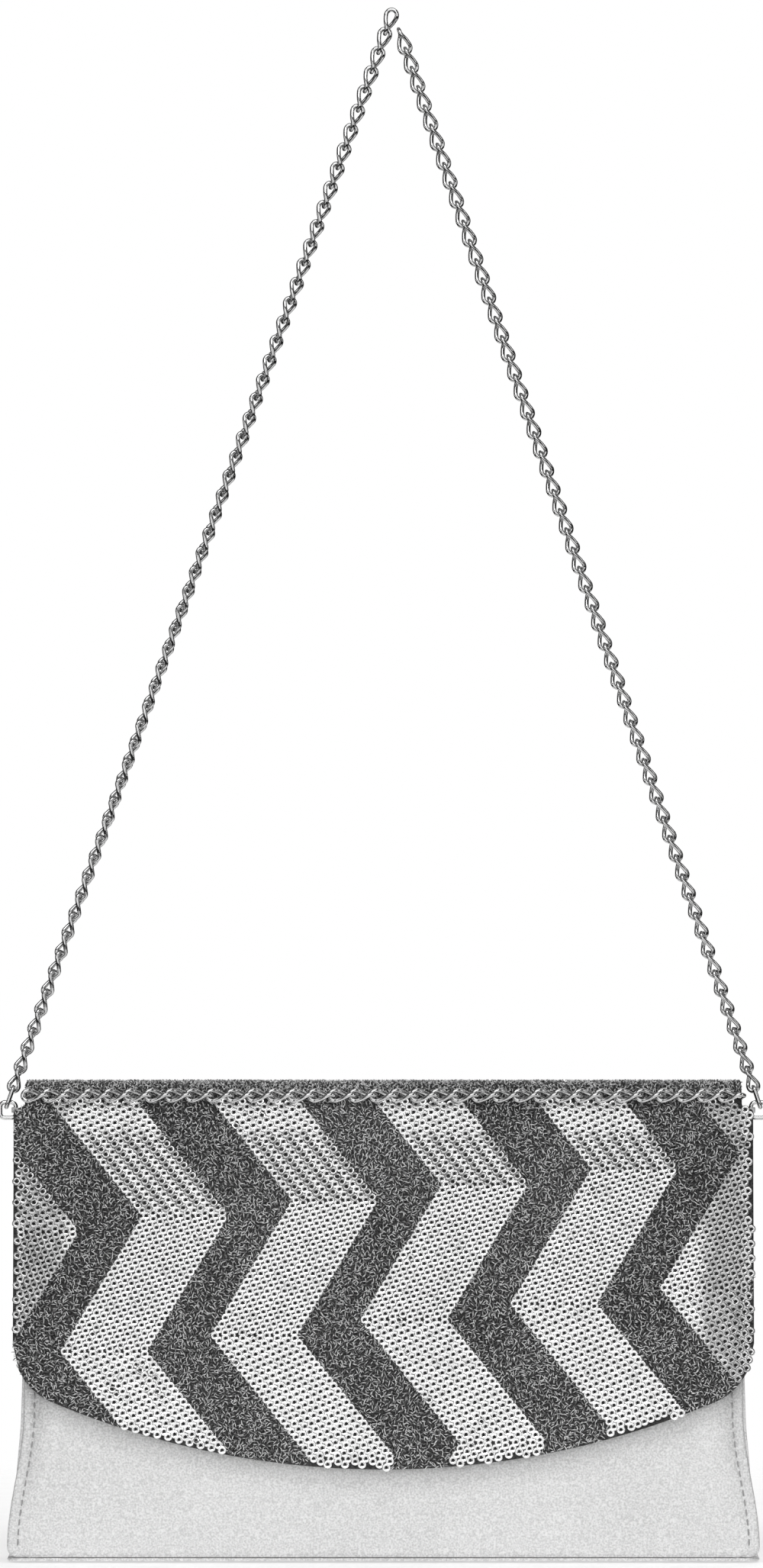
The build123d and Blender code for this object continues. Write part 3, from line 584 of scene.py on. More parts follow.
@dataclass
class Body:
    """The leather body: front and back walls, base, folded gussets and the loops that hold the side rings."""

    columns: int = 96
    rows: int = 62
    seam_in: float = 0.0037
    seam_wide: float = 0.0007
    seam_deep: float = 0.0003
    swell: float = 0.00016
    swell_size: float = 0.055
    ring_wire: float = 0.00145
    loop_wrap: float = 0.0012
    loop_thick: float = 0.0006
    gusset_thick: float = 0.0009
    gusset_flange: float = 0.004
    gusset_levels: tuple[float, ...] = (0.0016, 0.047, 0.146)
    gusset_edges: tuple[float, ...] = (0.1295, 0.1256, 0.1229)
    gusset_folds: tuple[float, ...] = (0.001, 0.009, 0.013)

    def build(self) -> None:
        """Makes every leather piece of the body."""
        front = (0.1246, 0.1236, FORM.front_height)
        back = (0.1263, 0.1256, FORM.back_height)
        self.wall("front_leather", FORM.front, front, "front_wall", "front_panel", 3)
        self.wall("back_leather", FORM.back, back, "bag", "back_panel", 8)
        self.base()
        for side, word in ((-1, "left"), (1, "right")):
            self.gusset(side, word)
            self.ring_loop(side, word)

    def wall(self, name: str, wall: LeaningWall, sizes: tuple[float, float, float], body: str, node: str,
             seed: int) -> None:
        """Makes one leather wall with a pressed side seam and its stitches.

        Args:
            name: the piece's name.
            wall: the wall's outer face.
            sizes: half the waist's width, half the top's width, and the height.
            body: the CAD body that it rides on.
            node: the CAD node that it replaces.
            seed: sets the leather's unevenness.
        """
        waist, top, height = sizes
        crowd = np.array([0.0, 0.0009, 0.002, 0.003, 0.0037, 0.0044, 0.0055, 0.008]) / FORM.base_half
        u = np.concatenate([-1 + crowd, np.linspace(-0.92, 0.92, self.columns), (1 - crowd)[::-1]])
        low = np.array([0.0, 0.0008, 0.0018, 0.0028, 0.0036, 0.0044, 0.0055, 0.008])
        rise = np.concatenate([low, np.linspace(0.0105, height, self.rows)])
        half = FORM.wall_half(rise, waist, top, height)
        x = u[None, :] * half[:, None]
        up = np.broadcast_to(rise[:, None], x.shape)
        inset = half[:, None] - np.abs(x)
        flat = wall.at(x, up, -FORM.leather / 2)
        calm = smooth_step(inset, 0.002, 0.02) * smooth_step(up, 0.002, 0.02)
        out = self.swell * ripple(flat, self.swell_size, seed) * calm
        out = out - self.seam_deep * np.exp(-((inset - self.seam_in) / self.seam_wide) ** 2)
        foot_seam = self.seam_deep * np.exp(-((up - self.seam_in) / self.seam_wide) ** 2)
        out = out - foot_seam * (inset > self.seam_in)
        grid = wall.at(x, up, out - FORM.leather / 2)
        solid = thin_sheet(grid, FORM.leather)
        # the tint carries painted shade along the side seams and the rim
        solid.tint = self.painted_seam_shade(solid.points, wall, (waist, top, height))
        piece = make_piece(name, solid, LEATHER.build())
        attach(piece, body)
        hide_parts(node)
        lay_sheet(piece, grid, "stretched", node.replace("panel", "board"))
        seam = None
        for side in (-1, 1):
            line = wall.at(side * (half - self.seam_in)[4:-1], rise[4:-1], -self.seam_deep + 0.0001)
            threads = StitchLine(line, wall.out).build()
            seam = threads if seam is None else seam.joined(threads)
        threads = make_piece(name.replace("leather", "stitches"), seam, THREAD.build())
        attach(threads, body)
        LOG.info("%s: %d faces", name, len(piece.data.polygons))

    def painted_seam_shade(self, points: np.ndarray, wall: LeaningWall, sizes: tuple[float, float, float]
                 ) -> np.ndarray:
        """Returns each point's tint, painted shade: near 1 on open leather, lower along the side seams and the
        rim, where shade falls.
        """
        waist, top, height = sizes
        rise = (points[:, 2] - wall.foot_z) / math.cos(wall.lean)
        inset = FORM.wall_half(rise, waist, top, height) - np.abs(points[:, 0] - wall.middle)
        seam = np.exp(-((inset - 0.0045) / 0.0035) ** 2) * smooth_step(rise, 0.004, 0.06)
        rim = np.exp(-(inset / 0.0008) ** 2) + np.exp(-(rise / 0.001) ** 2)
        return np.clip(0.95 - 0.75 * seam - 0.5 * rim, 0, 1)

    def base(self) -> None:
        """Makes the base panel, its rim rolled up a little."""
        half, deep = FORM.base_half, FORM.base_depth / 2
        u = np.linspace(-1, 1, 120)
        y = np.linspace(-deep, deep, 26)
        away = np.clip(np.abs(y) - (deep - FORM.corner), 0, FORM.corner)
        reach = half - (FORM.corner - np.sqrt(FORM.corner ** 2 - away ** 2))
        x = u[None, :] * reach[:, None] + FORM.middle
        depth = np.broadcast_to(y[:, None], x.shape) + FORM.fold_y
        z = np.full_like(x, FORM.base_z + FORM.base_thick / 2)
        grid = np.stack([x, depth, z], axis=-1)
        solid = thin_sheet(grid, FORM.base_thick)
        solid.tint = np.full(len(solid.points), 0.8)
        piece = make_piece("base_leather", solid, LEATHER.build())
        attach(piece, "bag")
        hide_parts("base_panel")
        lay_sheet(piece, grid, "stretched", "base_board")

    def section(self, level: float, thick: float, inset: float, flange: float) -> np.ndarray:
        """Returns the middle line of a gusset's section at one height: x from the bag's middle, and y."""
        edge = float(np.interp(level, self.gusset_levels, self.gusset_edges)) - inset
        fold = float(np.interp(level, self.gusset_levels, self.gusset_folds))
        front = (FORM.front.foot_y + FORM.leather / math.cos(FORM.front_lean) + 0.0003
                 + (level - 0.0014) * math.tan(FORM.front_lean) + thick / 2)
        back = (FORM.back.foot_y - FORM.leather / math.cos(FORM.back_lean)
                - (level - 0.0013) * math.tan(FORM.back_lean) - thick / 2)
        root = edge - flange
        corners = [(root - thick / 2, front), (root - fold, (front + back) / 2), (root - thick / 2, back)]
        if flange:
            corners = [(edge, front), *corners, (edge, back)]
        line = np.array(corners)
        pieces = [np.linspace(a, b, 7)[:-1] for a, b in zip(line[:-1], line[1:])]
        line = np.vstack([*pieces, line[-1:]])
        for _ in range(2):
            cut = np.empty((2 * len(line) - 2, 2))
            cut[0::2] = line[:-1] * 0.75 + line[1:] * 0.25
            cut[1::2] = line[:-1] * 0.25 + line[1:] * 0.75
            line = np.vstack([line[:1], cut, line[-1:]])
        run = np.concatenate([[0], np.cumsum(np.linalg.norm(np.diff(line, axis=0), axis=1))])
        stops = np.linspace(0, run[-1], 42)
        return np.stack([np.interp(stops, run, line[:, k]) for k in (0, 1)], axis=1)

    def gusset(self, side: int, word: str) -> None:
        """Makes one folded gusset and its satin, between the back wall and the front wall."""
        finishes = (
            (f"{word}_gusset_leather", f"{word}_gusset", self.gusset_thick, 0.0, self.gusset_flange, LEATHER,
             "silver_leather"),
            (f"{word}_gusset_satin", f"{word}_gusset_lining", 0.0004, 0.0061, 0.0, SATIN, "lining_cloth"),
        )
        for name, node, thick, inset, flange, finish, slot in finishes:
            levels = np.linspace(self.gusset_levels[0], self.gusset_levels[-1], 50)
            rows = [self.section(level, thick, inset, flange) for level in levels]
            grid = np.zeros((len(levels), len(rows[0]), 3))
            for k, (level, row) in enumerate(zip(levels, rows)):
                grid[k, :, 0] = FORM.middle + side * row[:, 0]
                grid[k, :, 1] = row[:, 1]
                grid[k, :, 2] = FORM.base_z + level
            along = np.linspace(-1, 1, grid.shape[1])[None, :]
            slack = np.clip(1 - along ** 2 * 1.6, 0, 1) * smooth_step(levels, 0.005, 0.04)[:, None]
            grid[..., 0] -= side * 0.0005 * slack * ripple(grid, 0.022, 11)
            solid = thin_sheet(grid, thick)
            solid.tint = np.full(len(solid.points), 0.85)
            piece = make_piece(name, solid, finish.build())
            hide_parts(node)
            lay_sheet(piece, grid, "folded", "front_leather", "back_leather")
            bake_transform(piece)

    def ring_loop(self, side: int, word: str) -> None:
        """Makes the leather loop that holds a side ring, with its tongue sewn to the gusset."""
        low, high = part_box(f"{word}_side_ring")
        tab_low, tab_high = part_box(f"{word}_ring_tab")
        bar = (high.x if side < 0 else low.x) + side * self.ring_wire / 2
        centre_z = (low.z + high.z) / 2
        inner = tab_high.x if side < 0 else tab_low.x
        wrap = self.loop_wrap
        turns = np.linspace(-0.5 * math.pi, 0.5 * math.pi, 13)
        arc = [(bar + side * wrap * math.cos(t), wrap * math.sin(t)) for t in turns]
        stops = np.linspace(0, 0.97, 12)
        tongue = [(inner + (bar - inner) * s, wrap * (0.32 + 0.68 * s ** 3)) for s in stops]
        path = np.array([(x, -y) for x, y in tongue] + arc + [(x, y) for x, y in reversed(tongue)])
        share = np.clip((path[:, 0] - inner) / (bar - inner), 0, 1)
        top = centre_z + 0.001 * share - 0.002 * (1 - share)
        foot = centre_z - 0.001 * share - 0.0155 * (1 - share)
        rows = np.linspace(0, 1, 7)
        z = foot[None, :] * (1 - rows[:, None]) + top[None, :] * rows[:, None]
        x, y = (np.broadcast_to(path[:, k], z.shape) for k in (0, 1))
        grid = np.stack([x, y, z], axis=-1)
        piece = make_piece(f"{word}_ring_loop", thin_sheet(grid, self.loop_thick), EDGE_LEATHER.build())
        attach(piece, "bag")
        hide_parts(f"{word}_ring_tab")


# ---------------------------------------------------------------- the inside

@dataclass
class Inside:
    """Satin linings, leather facings, the slip pocket and the zip pocket."""

    cloth: float = 0.0005
    board_foot: float = 0.1187
    board_top: float = 0.108
    facing: float = 0.018
    lining_foot: float = 0.005
    front_lining_in: float = 0.0034
    back_lining_in: float = 0.0049
    facing_in: float = 0.0022
    pocket_half: float = 0.06
    pocket_foot: float = 0.042
    pocket_top: float = 0.11
    pouch_half: float = 0.08
    pouch_deep: float = 0.08
    pouch_above: float = 0.0097
    pouch_in: float = 0.0024
    pouch_thick: float = 0.0019
    tape_in: float = 0.0044
    tape_edges: tuple[float, float] = (0.00185, 0.00785)
    zip_drop: float = 0.037
    zip_gap: float = 0.0037
    zip_half: float = 0.076

    def patch(self, name: str, wall: LeaningWall, halves: tuple[float, float], rises: tuple[float, float],
              deep: float, thick: float, slack: float, seed: int) -> np.ndarray:
        """Returns the middle surface of a four-sided patch behind a wall's outer face.

        Args:
            name: the piece's name, for the log.
            wall: the wall's outer face.
            halves: half its width at the foot and at the top.
            rises: where it starts and ends up the wall.
            deep: depth of its outer face behind the wall's outer face.
            thick: its thickness.
            slack: how much it stands away from the wall in soft swells.
            seed: sets the swells.
        """
        rise = np.linspace(*rises, max(6, int((rises[1] - rises[0]) / 0.003)))
        half = np.interp(rise, rises, halves)
        columns = max(10, int(2 * max(halves) / 0.0035))
        x = np.linspace(-1, 1, columns)[None, :] * half[:, None]
        up = np.broadcast_to(rise[:, None], x.shape)
        grid = wall.at(x, up, -deep - thick / 2)
        edge = np.minimum.reduce([half[:, None] - np.abs(x), up - rises[0], rises[1] - up])
        swell = slack * (0.5 + 0.5 * ripple(grid, 0.045, seed)) * smooth_step(edge, 0.001, 0.012)
        LOG.info("%s: %.0f by %.0f mm", name, 2 * max(halves) / MM, (rises[1] - rises[0]) / MM)
        return grid - swell[..., None] * wall.out

    def add(self, name: str, grid: np.ndarray, thick: float, finish: Finish, body: str, node: str,
            slot: str) -> None:
        """Makes one patch's piece, sets it on its body and hides the node it replaces."""
        piece = make_piece(name, thin_sheet(grid, thick), finish.build())
        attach(piece, body)
        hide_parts(node)
        lay_sheet(piece, grid, "stretched", "front_board" if body == "front_wall" else "back_board")

    def build(self) -> None:
        """Makes every soft piece of the inside."""
        front, back = FORM.front, FORM.back
        halves = (self.board_foot, self.board_top)
        top = FORM.front_height - self.facing
        rises = (self.lining_foot, top)
        grid = self.patch("front_satin", front, halves, rises, self.front_lining_in, self.cloth, 0.0004, 21)
        self.add("front_satin", grid, self.cloth, SATIN, "front_wall", "front_lining", "lining_cloth")
        rises = (top, FORM.front_height)
        grid = self.patch("front_band", front, (self.board_top,) * 2, rises, self.facing_in, 0.0015, 0, 22)
        self.add("front_band", grid, 0.0015, EDGE_LEATHER, "front_wall", "front_facing", "silver_leather")
        self.slip_pocket()
        top = FORM.back_height - self.facing
        rises = (self.lining_foot, top)
        grid = self.patch("back_satin", back, halves, rises, self.back_lining_in, self.cloth, 0.0, 23)
        self.zip_window(grid)
        rises = (top, FORM.back_height - 0.001)
        grid = self.patch("back_band", back, (self.board_top,) * 2, rises, self.facing_in, 0.003, 0, 24)
        self.add("back_band", grid, 0.003, EDGE_LEATHER, "bag", "back_facing", "silver_leather")
        self.base_satin()
        self.zip_cloth()

    def slip_pocket(self) -> None:
        """Makes the patch pocket on the front lining, sewn at three sides and standing off at the top."""
        front = FORM.front
        x = np.linspace(-self.pocket_half, self.pocket_half, 44)[None, :]
        rise = np.linspace(self.pocket_foot, self.pocket_top, 26)[:, None]
        x, rise = np.broadcast_arrays(x, rise)
        seam = np.minimum(self.pocket_half - np.abs(x), rise - self.pocket_foot)
        stand = 0.00055 + 0.0009 * smooth_step(seam, 0.0, 0.012)
        grid = front.at(x, rise, -0.0039 - stand)
        self.add("slip_pocket_satin", grid, self.cloth, SATIN, "front_wall", "slip_pocket", "lining_cloth")
        lines = [
            front.at(np.full(20, -0.0585), np.linspace(0.0435, 0.109, 20), -0.0052),
            front.at(np.full(20, 0.0585), np.linspace(0.0435, 0.109, 20), -0.0052),
            front.at(np.linspace(-0.058, 0.058, 30), np.full(30, 0.0435), -0.0052),
            front.at(np.linspace(-0.058, 0.058, 30), np.full(30, 0.1075), -0.0058),
        ]
        piece = make_piece("slip_pocket_stitches", fine_seams(lines, -front.out), THREAD.build())
        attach(piece, "front_wall")

    def zip_window(self, grid: np.ndarray) -> None:
        """Makes the back lining in four strips about the zip's slot."""
        rise = (grid[:, 0, 2] - FORM.back.foot_z) / math.cos(FORM.back_lean)
        slot = FORM.back_height - self.zip_drop
        back = FORM.back
        parts = None
        for x0, x1, r0, r1 in (
            (-1, 1, rise[0], slot - self.zip_gap),
            (-1, 1, slot + self.zip_gap, rise[-1]),
            (-1, -self.zip_half, slot - self.zip_gap, slot + self.zip_gap),
            (self.zip_half, 1, slot - self.zip_gap, slot + self.zip_gap),
        ):
            ups = np.linspace(r0, r1, max(5, int((r1 - r0) / 0.003)))
            half = np.interp(ups, (self.lining_foot, rise[-1]), (self.board_foot, self.board_top))
            count = max(8, int((min(x1, 0.12) - max(x0, -0.12)) / 0.0035))
            share = np.linspace(0, 1, count)[None, :]
            left = np.where(x0 == -1, -half, x0)[:, None] * np.ones_like(share)
            right = np.where(x1 == 1, half, x1)[:, None] * np.ones_like(share)
            x = left + (right - left) * share
            up = np.broadcast_to(ups[:, None], x.shape)
            strip = thin_sheet(back.at(x, up, -self.back_lining_in - self.cloth / 2), self.cloth)
            parts = strip if parts is None else parts.joined(strip)
        piece = make_piece("back_satin", parts, SATIN.build())
        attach(piece, "bag")
        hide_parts("back_lining")
        lay_sheet(piece, grid, "stretched", "back_board")

    def base_satin(self) -> None:
        """Makes the lining on the base board."""
        low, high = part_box("base_lining")
        x = np.linspace(low.x, high.x, 70)[None, :]
        y = np.linspace(low.y, high.y, 14)[:, None]
        x, y = np.broadcast_arrays(x, y)
        grid = np.stack([x, y, np.full_like(x, (low.z + high.z) / 2)], axis=-1)
        self.add("base_satin", grid, self.cloth, SATIN, "bag", "base_lining", "lining_cloth")

    def zip_cloth(self) -> None:
        """Makes the zip's two tapes and the pouch behind them."""
        back = FORM.back
        slot = FORM.back_height - self.zip_drop
        for side, word in ((1, "upper"), (-1, "lower")):
            ends = sorted(slot + side * edge for edge in self.tape_edges)
            node = f"zip_tape_{word}"
            grid = self.patch(node, back, (self.zip_half,) * 2, tuple(ends), self.tape_in, self.cloth, 0.0, 30)
            self.add(f"{word}_zip_tape", grid, self.cloth, TAPE, "bag", node, "zip_tape")
        rises = (slot - self.pouch_deep + self.pouch_above, slot + self.pouch_above)
        halves = (self.pouch_half, self.pouch_half)
        grid = self.patch("zip_pouch", back, halves, rises, self.pouch_in, self.pouch_thick, 0.0, 31)
        self.add("zip_pouch", grid, self.pouch_thick, SATIN, "bag", "zip_pocket", "lining_cloth")
        x = np.linspace(-0.074, 0.074, 40)
        lines = [back.at(x, np.full(40, slot + side * 0.0052), -0.0055) for side in (-1, 1)]
        piece = make_piece("zip_stitches", fine_seams(lines, -back.out), THREAD.build())
        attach(piece, "bag")


# ---------------------------------------------------------------- the flap

@dataclass(frozen=True)
class FlapForm:
    """The cloth up the back, over the fold and down the front, measured down from the fold's front end."""

    radius: float = 0.0113
    inner: float = 0.009
    tail: float = 0.022
    half: float = 0.1283
    fold_half: float = 0.1244
    front_fall: float = 0.1552
    edge_radius: float = 0.296
    edge_height: float = 0.032
    corner: float = 0.022
    droop_from: float = 0.108
    droop: float = 0.0017

    @property
    def front_turn(self) -> float:
        """The angle about the fold's middle, from the back, where the straight front starts."""
        return math.pi - FORM.front_lean

    def back_fall(self, radius: float) -> float:
        """Returns the measure at which the straight back starts, for a layer at that radius."""
        return -(self.front_turn - FORM.back_lean) * radius

    def droop_at(self, x: np.ndarray, fall: np.ndarray) -> tuple[np.ndarray, np.ndarray]:
        """Returns how far the cloth's sides curl back at each place, and the slope across."""
        share = np.clip((np.abs(x) - self.droop_from) / (self.half - self.droop_from), 0, 1)
        fade = smooth_step(fall, 0.002, 0.02)
        slope = 2 * self.droop * share / (self.half - self.droop_from) * np.sign(x) * fade
        return self.droop * share ** 2 * fade, slope

    def place(self, x: np.ndarray, fall: np.ndarray, radius: float, lift: np.ndarray | float = 0.0
              ) -> tuple[np.ndarray, np.ndarray, np.ndarray]:
        """Returns the points, outward normals and downward directions of places on the cloth.

        Args:
            x: to the right of the bag's middle.
            fall: down from the fold's front end along the layer, negative over the fold and up the back.
            radius: the layer's radius about the fold's middle.
            lift: out of the layer.
        """
        x, fall, lift = np.broadcast_arrays(x, fall, lift)
        back_fall = self.back_fall(radius)
        turn = np.clip(self.front_turn + fall / radius, FORM.back_lean, self.front_turn)
        run = np.clip(fall, 0, None) + np.clip(fall - back_fall, None, 0)
        zero = np.zeros_like(x)
        normal = np.stack([zero, np.cos(turn), np.sin(turn)], axis=-1)
        down = np.stack([zero, -np.sin(turn), np.cos(turn)], axis=-1)
        curl, slope = self.droop_at(x, fall)
        centre = np.array([FORM.middle, FORM.fold_y, FORM.fold_z])
        spots = centre + x[..., None] * X_WAY
        spots = spots + normal * (radius + lift - curl)[..., None] + down * run[..., None]
        normal = normal + X_WAY * slope[..., None]
        return spots, normal / np.linalg.norm(normal, axis=-1, keepdims=True), down

    def edge_fall(self, x: np.ndarray) -> np.ndarray:
        """Returns how far down the cloth's edge lies at each x, with the big curve and the round corners."""
        x = np.minimum(np.abs(x), self.half)
        big = self.edge_height + self.edge_radius
        start = self.half - self.corner
        inner = self.edge_radius - self.corner
        corner_height = big - math.sqrt(inner ** 2 - start ** 2)
        tangent = start * self.edge_radius / inner
        curve = big - np.sqrt(self.edge_radius ** 2 - np.minimum(x, tangent) ** 2)
        corner = corner_height - np.sqrt(np.clip(self.corner ** 2 - (x - start) ** 2, 0, None))
        height = np.where(x <= tangent, curve, corner)
        return (self.front_fall - height) / math.cos(FORM.front_lean)

    def half_at(self, fall: np.ndarray) -> np.ndarray:
        """Returns half the cloth's width at each measure: narrower over the fold, where the strap passes."""
        return self.fold_half + (self.half - self.fold_half) * smooth_step(fall, -0.0024, -0.0004)


@dataclass(frozen=True)
class Chevrons:
    """The zigzag of the sequin stripes on the cloth laid flat."""

    turn_x: float = -0.0686
    turn_fall: float = 0.0361
    out_leg: tuple[float, float] = (-0.0282, 0.047)
    home_leg: tuple[float, float] = (0.0343, 0.0425)
    step: tuple[float, float] = (0.0519, -0.0055)
    rows: int = 10
    row_gap: float = 0.003
    leg_count: int = 23
    stripes: tuple[int, ...] = (-1, 0, 1, 2, 3, 4)

    def centre(self, fall: np.ndarray, stripe: int) -> np.ndarray:
        """Returns the x of a stripe's middle line at each fall."""
        long = self.out_leg[1] + self.home_leg[1]
        wide = self.out_leg[0] + self.home_leg[0]
        down = fall - self.turn_fall - stripe * self.step[1]
        count = np.floor(down / long)
        rest = down - count * long
        leg = np.where(
            rest < self.out_leg[1], self.out_leg[0] * rest / self.out_leg[1],
            self.out_leg[0] + self.home_leg[0] * (rest - self.out_leg[1]) / self.home_leg[1],
        )
        return self.turn_x + stripe * self.step[0] + count * wide + leg

    def inside(self, x: np.ndarray, fall: np.ndarray, margin: float) -> np.ndarray:
        """Returns which places lie within any stripe, widened by a margin."""
        reach = self.rows * self.row_gap / 2 + margin
        found = np.zeros(np.shape(x), bool)
        for stripe in range(self.stripes[0] - 1, self.stripes[-1] + 2):
            found |= np.abs(x - self.centre(fall, stripe)) < reach
        return found

    def row(self, stripe: int, number: int) -> tuple[np.ndarray, np.ndarray, np.ndarray]:
        """Returns the x, fall and slant of the sequins along one row of a stripe."""
        places = np.arange(-3 * self.leg_count, 4 * self.leg_count) + 0.5 * (number % 2)
        leg = np.floor(places / self.leg_count).astype(int)
        share = places / self.leg_count - leg
        pair = leg // 2
        outward = leg % 2 == 0
        x = np.where(outward, share * self.out_leg[0], self.out_leg[0] + share * self.home_leg[0])
        fall = np.where(outward, share * self.out_leg[1], self.out_leg[1] + share * self.home_leg[1])
        wide, long = self.out_leg[0] + self.home_leg[0], self.out_leg[1] + self.home_leg[1]
        shift = (number - (self.rows - 1) / 2) * self.row_gap
        x = x + pair * wide + self.turn_x + stripe * self.step[0] + shift
        fall = fall + pair * long + self.turn_fall + stripe * self.step[1]
        slant = np.where(outward, math.atan2(self.out_leg[0], self.out_leg[1]),
                         math.atan2(self.home_leg[0], self.home_leg[1]))
        return x, fall, slant


@dataclass
class Flap:
    """The flap and the cap over the fold: ground cloth, satin, sequins, metal yarn and the stitches on the
    back.
    """

    form: FlapForm = field(default_factory=FlapForm)
    pattern: Chevrons = field(default_factory=Chevrons)
    sequin_radius: float = 0.00152
    sequin_hole: float = 0.00056
    sequin_thick: float = 0.00012
    sequin_lift: float = 0.00042
    sequin_margin: float = 0.0007
    sequin_stray: float = 0.00005
    row_lift: float = 0.00018
    shingle: float = math.radians(2.5)
    tilt_spread: float = math.radians(0.9)
    dark_roll: float = math.radians(15.0)
    loose_tilt: float = math.radians(11)
    loose_share: float = 0.02
    # painted reflection and painted shade: where the sequin tint is darkened, in the upper band's odd rows and
    # towards the flap's sides
    painted_dark_rows: tuple[float, float, float, float] = (0.006, 0.009, 0.03, 0.038)
    side_shade: tuple[float, float, float, float] = (0.107, 0.114, 0.1235, 0.126)
    yarn_gap: float = 0.00086
    yarn_long: tuple[float, float] = (0.0011, 0.002)
    yarn_bow: tuple[float, float] = (0.0003, 0.0007)
    yarn_thick: float = 0.00042
    trim_fall: float = -0.0043

    def build(self) -> None:
        """Makes every piece of the flap."""
        self.ground()
        self.satin()
        for stripe in self.pattern.stripes:
            self.sequins(stripe)
        self.yarn()
        self.edge_stitches()

    def cloth_grid(self, radius: float, back_run: float, inset: float, columns: int) -> np.ndarray:
        """Returns a layer's middle surface, from the back over the fold to the curved edge."""
        form = self.form
        back_fall = form.back_fall(radius)
        u = np.linspace(-1, 1, columns)[None, :]
        over = np.linspace(back_fall, 0, 44)
        if back_run:
            over = np.concatenate([np.linspace(back_fall - back_run, back_fall, 10)[:-1], over])
        share = np.linspace(0, 1, 62)[1:, None]
        edge = form.edge_fall(u * (form.half - inset)) - inset
        fall = np.vstack([np.broadcast_to(over[:, None], (len(over), columns)), edge * share])
        x = u * (form.half_at(fall) - inset)
        return form.place(x, fall, radius)[0]

    def ground(self) -> None:
        """Makes the dark cloth under the sequins and yarn, one sheet from the back to the flap's edge."""
        form = self.form
        thick = form.radius - form.inner - 0.0005
        grid = self.cloth_grid(form.radius - thick / 2, form.tail, 0.0, 120)
        piece = make_piece("flap_ground_cloth", thin_sheet(grid, thick), GROUND.build())
        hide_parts("flap_shell", "flap_stiffener", "cap_shell", "cap_stiffener")
        lay_sheet(piece, grid, "folded", "back_leather", "flap_satin")
        self.bend(piece)

    def satin(self) -> None:
        """Makes the satin under the flap and the fold."""
        grid = self.cloth_grid(self.form.inner + 0.00025, 0.0, 0.0015, 110)
        piece = make_piece("flap_satin", thin_sheet(grid, 0.0005), SATIN.build())
        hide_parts("flap_lining", "cap_lining")
        lay_sheet(piece, grid, "folded", "back_leather", "flap_ground_cloth")
        self.bend(piece)

    def bend(self, piece: bpy.types.Object) -> None:
        """Bakes a cloth piece's place into its mesh."""
        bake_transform(piece)

    def disc(self) -> Solid:
        """Returns one sequin: a slightly dished ring of plastic with a hole."""
        corners = 12
        turns = np.arange(corners) * 2 * math.pi / corners
        rim, thick = self.sequin_radius, self.sequin_thick
        profile = (
            (self.sequin_hole, 0.00002), (rim * 0.8, 0.0), (rim, -0.00009),
            (rim, -0.00009 - thick), (self.sequin_hole, -thick),
        )
        rings = [[(r * math.cos(t), r * math.sin(t), z) for r, z in profile] for t in turns]
        return ring_tube(np.array(rings), closed=True)

    def within(self, x: np.ndarray, fall: np.ndarray, margin: float) -> np.ndarray:
        """Returns which places lie on the flap, at least a margin inside its outline."""
        form = self.form
        edge = form.edge_fall(x)
        slope = np.gradient(edge, x) if np.ndim(x) == 1 and len(x) > 2 and np.all(np.diff(x) > 0) else 0.0
        near = (edge - fall) / np.sqrt(1 + slope ** 2)
        return (near > margin) & (form.half_at(fall) - np.abs(x) > margin)

    def sequins(self, stripe: int) -> None:
        """Makes one stripe's sequins, in rows that follow its zigzag and overlap like shingles."""
        draw = np.random.default_rng(100 + stripe)
        spots, frames, tints = [], [], []
        for number in range(self.pattern.rows):
            x, fall, slant = self.pattern.row(stripe, number)
            keep = self.within(x, fall, self.sequin_margin) & (fall > 0.0002 + self.trim_fall)
            x, fall, slant = x[keep], fall[keep], slant[keep]
            if not len(x):
                continue
            x = x + draw.normal(0, self.sequin_stray, len(x))
            fall = fall + draw.normal(0, self.sequin_stray, len(x))
            lift = self.sequin_lift + self.row_lift * (number % 2)
            spot, normal, down = self.form.place(x, fall, self.form.radius, lift)
            across = np.cross(down, normal)
            row_way = down * np.cos(slant)[:, None] + across * np.sin(slant)[:, None]
            rise, full, fade, end = self.painted_dark_rows
            upper = smooth_step(fall, rise, full) * (1 - smooth_step(fall, fade, end)) * (slant > 0)
            tip = self.shingle + draw.normal(0, self.tilt_spread, len(x))
            roll = draw.normal(0, self.tilt_spread, len(x)) + self.dark_roll * upper * (number % 2)
            loose = (draw.random(len(x)) < self.loose_share) | self.slack_patch(x, fall)
            tip = tip + loose * draw.normal(0, self.loose_tilt, len(x))
            roll = roll + loose * draw.normal(0, self.loose_tilt, len(x))
            lean = normal - row_way * np.tan(tip)[:, None] - down * np.tan(roll)[:, None]
            lean = lean / np.linalg.norm(lean, axis=1, keepdims=True)
            ahead = row_way - lean * np.sum(row_way * lean, axis=1, keepdims=True)
            ahead = ahead / np.linalg.norm(ahead, axis=1, keepdims=True)
            spots.append(spot)
            frames.append(np.stack([ahead, np.cross(lean, ahead), lean], axis=1))
            # painted reflection: odd rows in the upper band get a darker tint for the dark room they face;
            # painted shade: sequins near the flap's sides get a darker tint for the curled-back sides
            near, deep, pale, rim = self.side_shade
            side = smooth_step(np.abs(x), near, deep) * (1 - 0.6 * smooth_step(np.abs(x), pale, rim))
            shade = upper * (0.95 if number % 2 else 0.1) + 0.8 * side
            tints.append(np.clip(draw.normal(0.9, 0.12, len(x)) - shade, 0, 1))
        if not spots:
            return
        solid = scattered(self.disc(), np.vstack(spots), np.vstack(frames), np.concatenate(tints))
        piece = make_piece(f"sequins_{stripe + 2}", solid, SEQUIN.build())
        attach(piece, "flap")
        LOG.info("stripe %d: %d sequins", stripe, len(np.concatenate(tints)))

